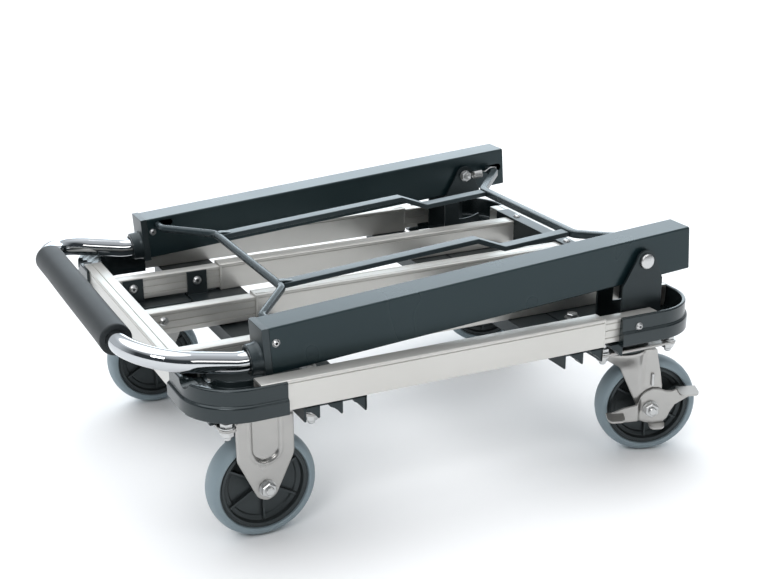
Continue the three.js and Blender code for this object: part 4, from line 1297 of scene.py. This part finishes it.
def tab_screws():
    """Button screws through the tabs into the centre slides."""
    tab_face_y = 0.11695
    mount_tab = (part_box("front_caster_mount_left")[0].x + 0.007 + 0.013, 0.190)
    channel_tab = (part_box("front_channel")[0].x + 0.013, 0.189)
    places = []
    for _, s in SIDES:
        for x, z in (mount_tab, channel_tab):
            places.append((Vector((x, s * tab_face_y, z)), (0, -s, 0)))
    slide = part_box("centre_slide_middle")
    places.append((Vector((channel_tab[0], slide[1].y + 0.0028, 0.189)), (0, 1, 0)))
    places.append((Vector((mount_tab[0], slide[0].y, 0.190)), (0, -1, 0)))
    grown("slide_tab_screws", BUTTON_SCREW, places, FASTENER, "front_frame", **TAB_SCREW)


def corner_screws():
    """One screw in the outer face of each rear moulding, its head inside the cart's width."""
    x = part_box("rear_corner_left")[0].x + 0.023
    face_y, z = 0.2669, 0.1906
    places = [(Vector((x, s * face_y, z)), (0, s, 0)) for _, s in SIDES]
    grown("rear_corner_screws", BUTTON_SCREW, places, FASTENER, "rear_frame", **CORNER_SCREW)


def strip_screws():
    lo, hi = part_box("rear_end_strip")
    places = [(Vector((lo.x + 0.011, y, hi.z)), (0, 0, 1)) for y in (-0.128, 0.0, 0.128)]
    grown("end_strip_screws", BUTTON_SCREW, places, FASTENER, "rear_frame", **STRIP_SCREW)


PLATE_BOLT_X = 0.0475  # half the spacing of a caster plate's four bolts
PLATE_BOLT_Y = 0.0335


def caster_bolts():
    """Four bolts through each caster plate: nuts below it, heads on the mount or long shanks above."""
    for body, wheel_joint, end in (
        ("front_frame", "front_wheel_spin", "front"), ("rear_frame", "caster_swivel", "rear"),
    ):
        heads, nuts, shanks = [], [], []
        mount_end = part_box(f"{end}_caster_mount_left")[1]
        for side, _ in SIDES:
            middle = Vector(JOINT[f"{wheel_joint}_{side}"]["pos_m"])
            for dx in (-PLATE_BOLT_X, PLATE_BOLT_X):
                for dy in (-PLATE_BOLT_Y, PLATE_BOLT_Y):
                    spot = Vector((middle.x + dx, middle.y + dy, 0))
                    nuts.append((spot + Vector((0, 0, PLATE_BOTTOM)), (0, 0, -1)))
                    if spot.x > mount_end.x or abs(spot.y) > mount_end.y:
                        shanks.append((spot + Vector((0, 0, PLATE_BOTTOM + PLATE)), (0, 0, 1)))
                    else:
                        heads.append((spot + Vector((0, 0, STEEL_TOP)), (0, 0, 1)))
        grown(f"{end}_plate_nuts", HEXAGON, nuts, FASTENER, body, **PLATE_NUT)
        grown(f"{end}_plate_bolt_heads", HEXAGON, heads, FASTENER, body, **PLATE_BOLT_HEAD)
        grown(f"{end}_plate_shanks", HEXAGON, shanks, FASTENER, body, **PLATE_SHANK)


def bracket_bolts():
    """Bolts through the channels, beside the outer rails."""
    places = []
    lo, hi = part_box("rear_channel")
    for _, s in SIDES:
        places.append((Vector((lo.x + 0.018, s * 0.205, hi.z)), (0, 0, 1)))
    grown("rear_channel_bolt_heads", HEXAGON, places, FASTENER, "rear_frame", **CHANNEL_BOLT)
    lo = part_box("front_channel")[0]
    places = [(Vector((lo.x + 0.045, s * 0.165, STEEL_TOP)), (0, 0, 1)) for _, s in SIDES]
    grown("front_channel_bolt_heads", HEXAGON, places, FASTENER, "front_frame", **CHANNEL_BOLT)


upright_screws()
tab_screws()
corner_screws()
strip_screws()
caster_bolts()
bracket_bolts()


# ---------------------------------------------------------------- floor, light and camera
def studio():
    bm = bmesh.new()
    bmesh.ops.create_grid(bm, x_segments=4, y_segments=4, size=30)
    floor_mesh = bpy.data.meshes.new("floor")
    bm.to_mesh(floor_mesh)
    bm.free()
    floor = bpy.data.objects.new("floor", floor_mesh)
    bpy.context.scene.collection.objects.link(floor)
    paper = Finish("pale_floor", (0.93, 0.93, 0.93), 0.9)
    paper.tint(paper.noise(0.8, detail=1), (0.925, 0.925, 0.925), (0.94, 0.94, 0.94))
    floor.data.materials.append(paper.material)

    scene = bpy.context.scene
    scene.view_settings.view_transform = "Standard"
    world = scene.world or bpy.data.worlds.new("studio")
    scene.world = world
    world.use_nodes = True
    nodes, links = world.node_tree.nodes, world.node_tree.links
    place = nodes.new("ShaderNodeTexCoord")
    split = nodes.new("ShaderNodeSeparateXYZ")
    links.new(place.outputs["Generated"], split.inputs[0])

    def graded(value, *stops):
        """A colour ramp over a value from -1 to 1."""
        share = nodes.new("ShaderNodeMapRange")
        share.inputs["From Min"].default_value = -1
        links.new(value, share.inputs["Value"])
        ramp = nodes.new("ShaderNodeValToRGB")
        links.new(share.outputs["Result"], ramp.inputs["Fac"])
        made = ramp.color_ramp.elements
        for i, (position, colour) in enumerate(stops):
            stop = made[i] if i < 2 else made.new(position)
            stop.position, stop.color = position, (*colour, 1)
        return ramp.outputs["Color"]

    # Dark behind the camera, pale behind the cart and overhead.
    far = graded(split.outputs["Y"], (0.42, (0.07, 0.08, 0.09)), (0.72, (0.92, 0.97, 1.02)))
    high = graded(split.outputs["Z"], (0.76, (0.0, 0.0, 0.0)), (0.90, (0.8, 0.82, 0.85)))
    both = nodes.new("ShaderNodeMix")
    both.data_type = "RGBA"
    both.blend_type = "ADD"
    both.inputs["Factor"].default_value = 1.0
    links.new(far, both.inputs[6])
    links.new(high, both.inputs[7])
    links.new(both.outputs[2], nodes["Background"].inputs["Color"])
    nodes["Background"].inputs["Strength"].default_value = 0.8

    def softbox(name, place, look_at, size, power, colour=(1, 1, 1)):
        data = bpy.data.lights.new(name, "AREA")
        data.shape = "RECTANGLE"
        data.size, data.size_y = size
        data.energy = power
        data.color = colour
        light = bpy.data.objects.new(name, data)
        light.location = place
        way = Vector(look_at) - Vector(place)
        light.rotation_euler = way.to_track_quat("-Z", "Y").to_euler()
        scene.collection.objects.link(light)

    softbox("key_left", (-2.0, -2.2, 2.4), (0, 0, 0.15), (1.2, 0.9), 34)
    softbox("back_strip", (1.8, 3.6, 1.5), (0, 0, 0.1), (6.0, 1.1), 70, (0.80, 0.92, 1.0))
    softbox("front_fill", (1.2, -2.6, 1.5), (0, 0, 0.15), (1.4, 0.5), 10, (1.0, 0.985, 0.96))
    data = bpy.data.lights.new("overhead", "SUN")
    data.energy = 1.5
    data.angle = math.radians(70)
    overhead = bpy.data.objects.new("overhead", data)
    overhead.rotation_euler = Euler((math.radians(-12), math.radians(-8), 0))
    scene.collection.objects.link(overhead)

    data = bpy.data.cameras.new("camera")
    data.sensor_width = 36
    data.lens = 62.93
    data.clip_end = 100
    camera = bpy.data.objects.new("camera", data)
    camera.location = (-0.66624, -1.44294, 0.75664)
    camera.rotation_euler = Euler((math.radians(70.296), math.radians(0.0), math.radians(-26.187)))
    scene.collection.objects.link(camera)
    scene.camera = camera


studio()
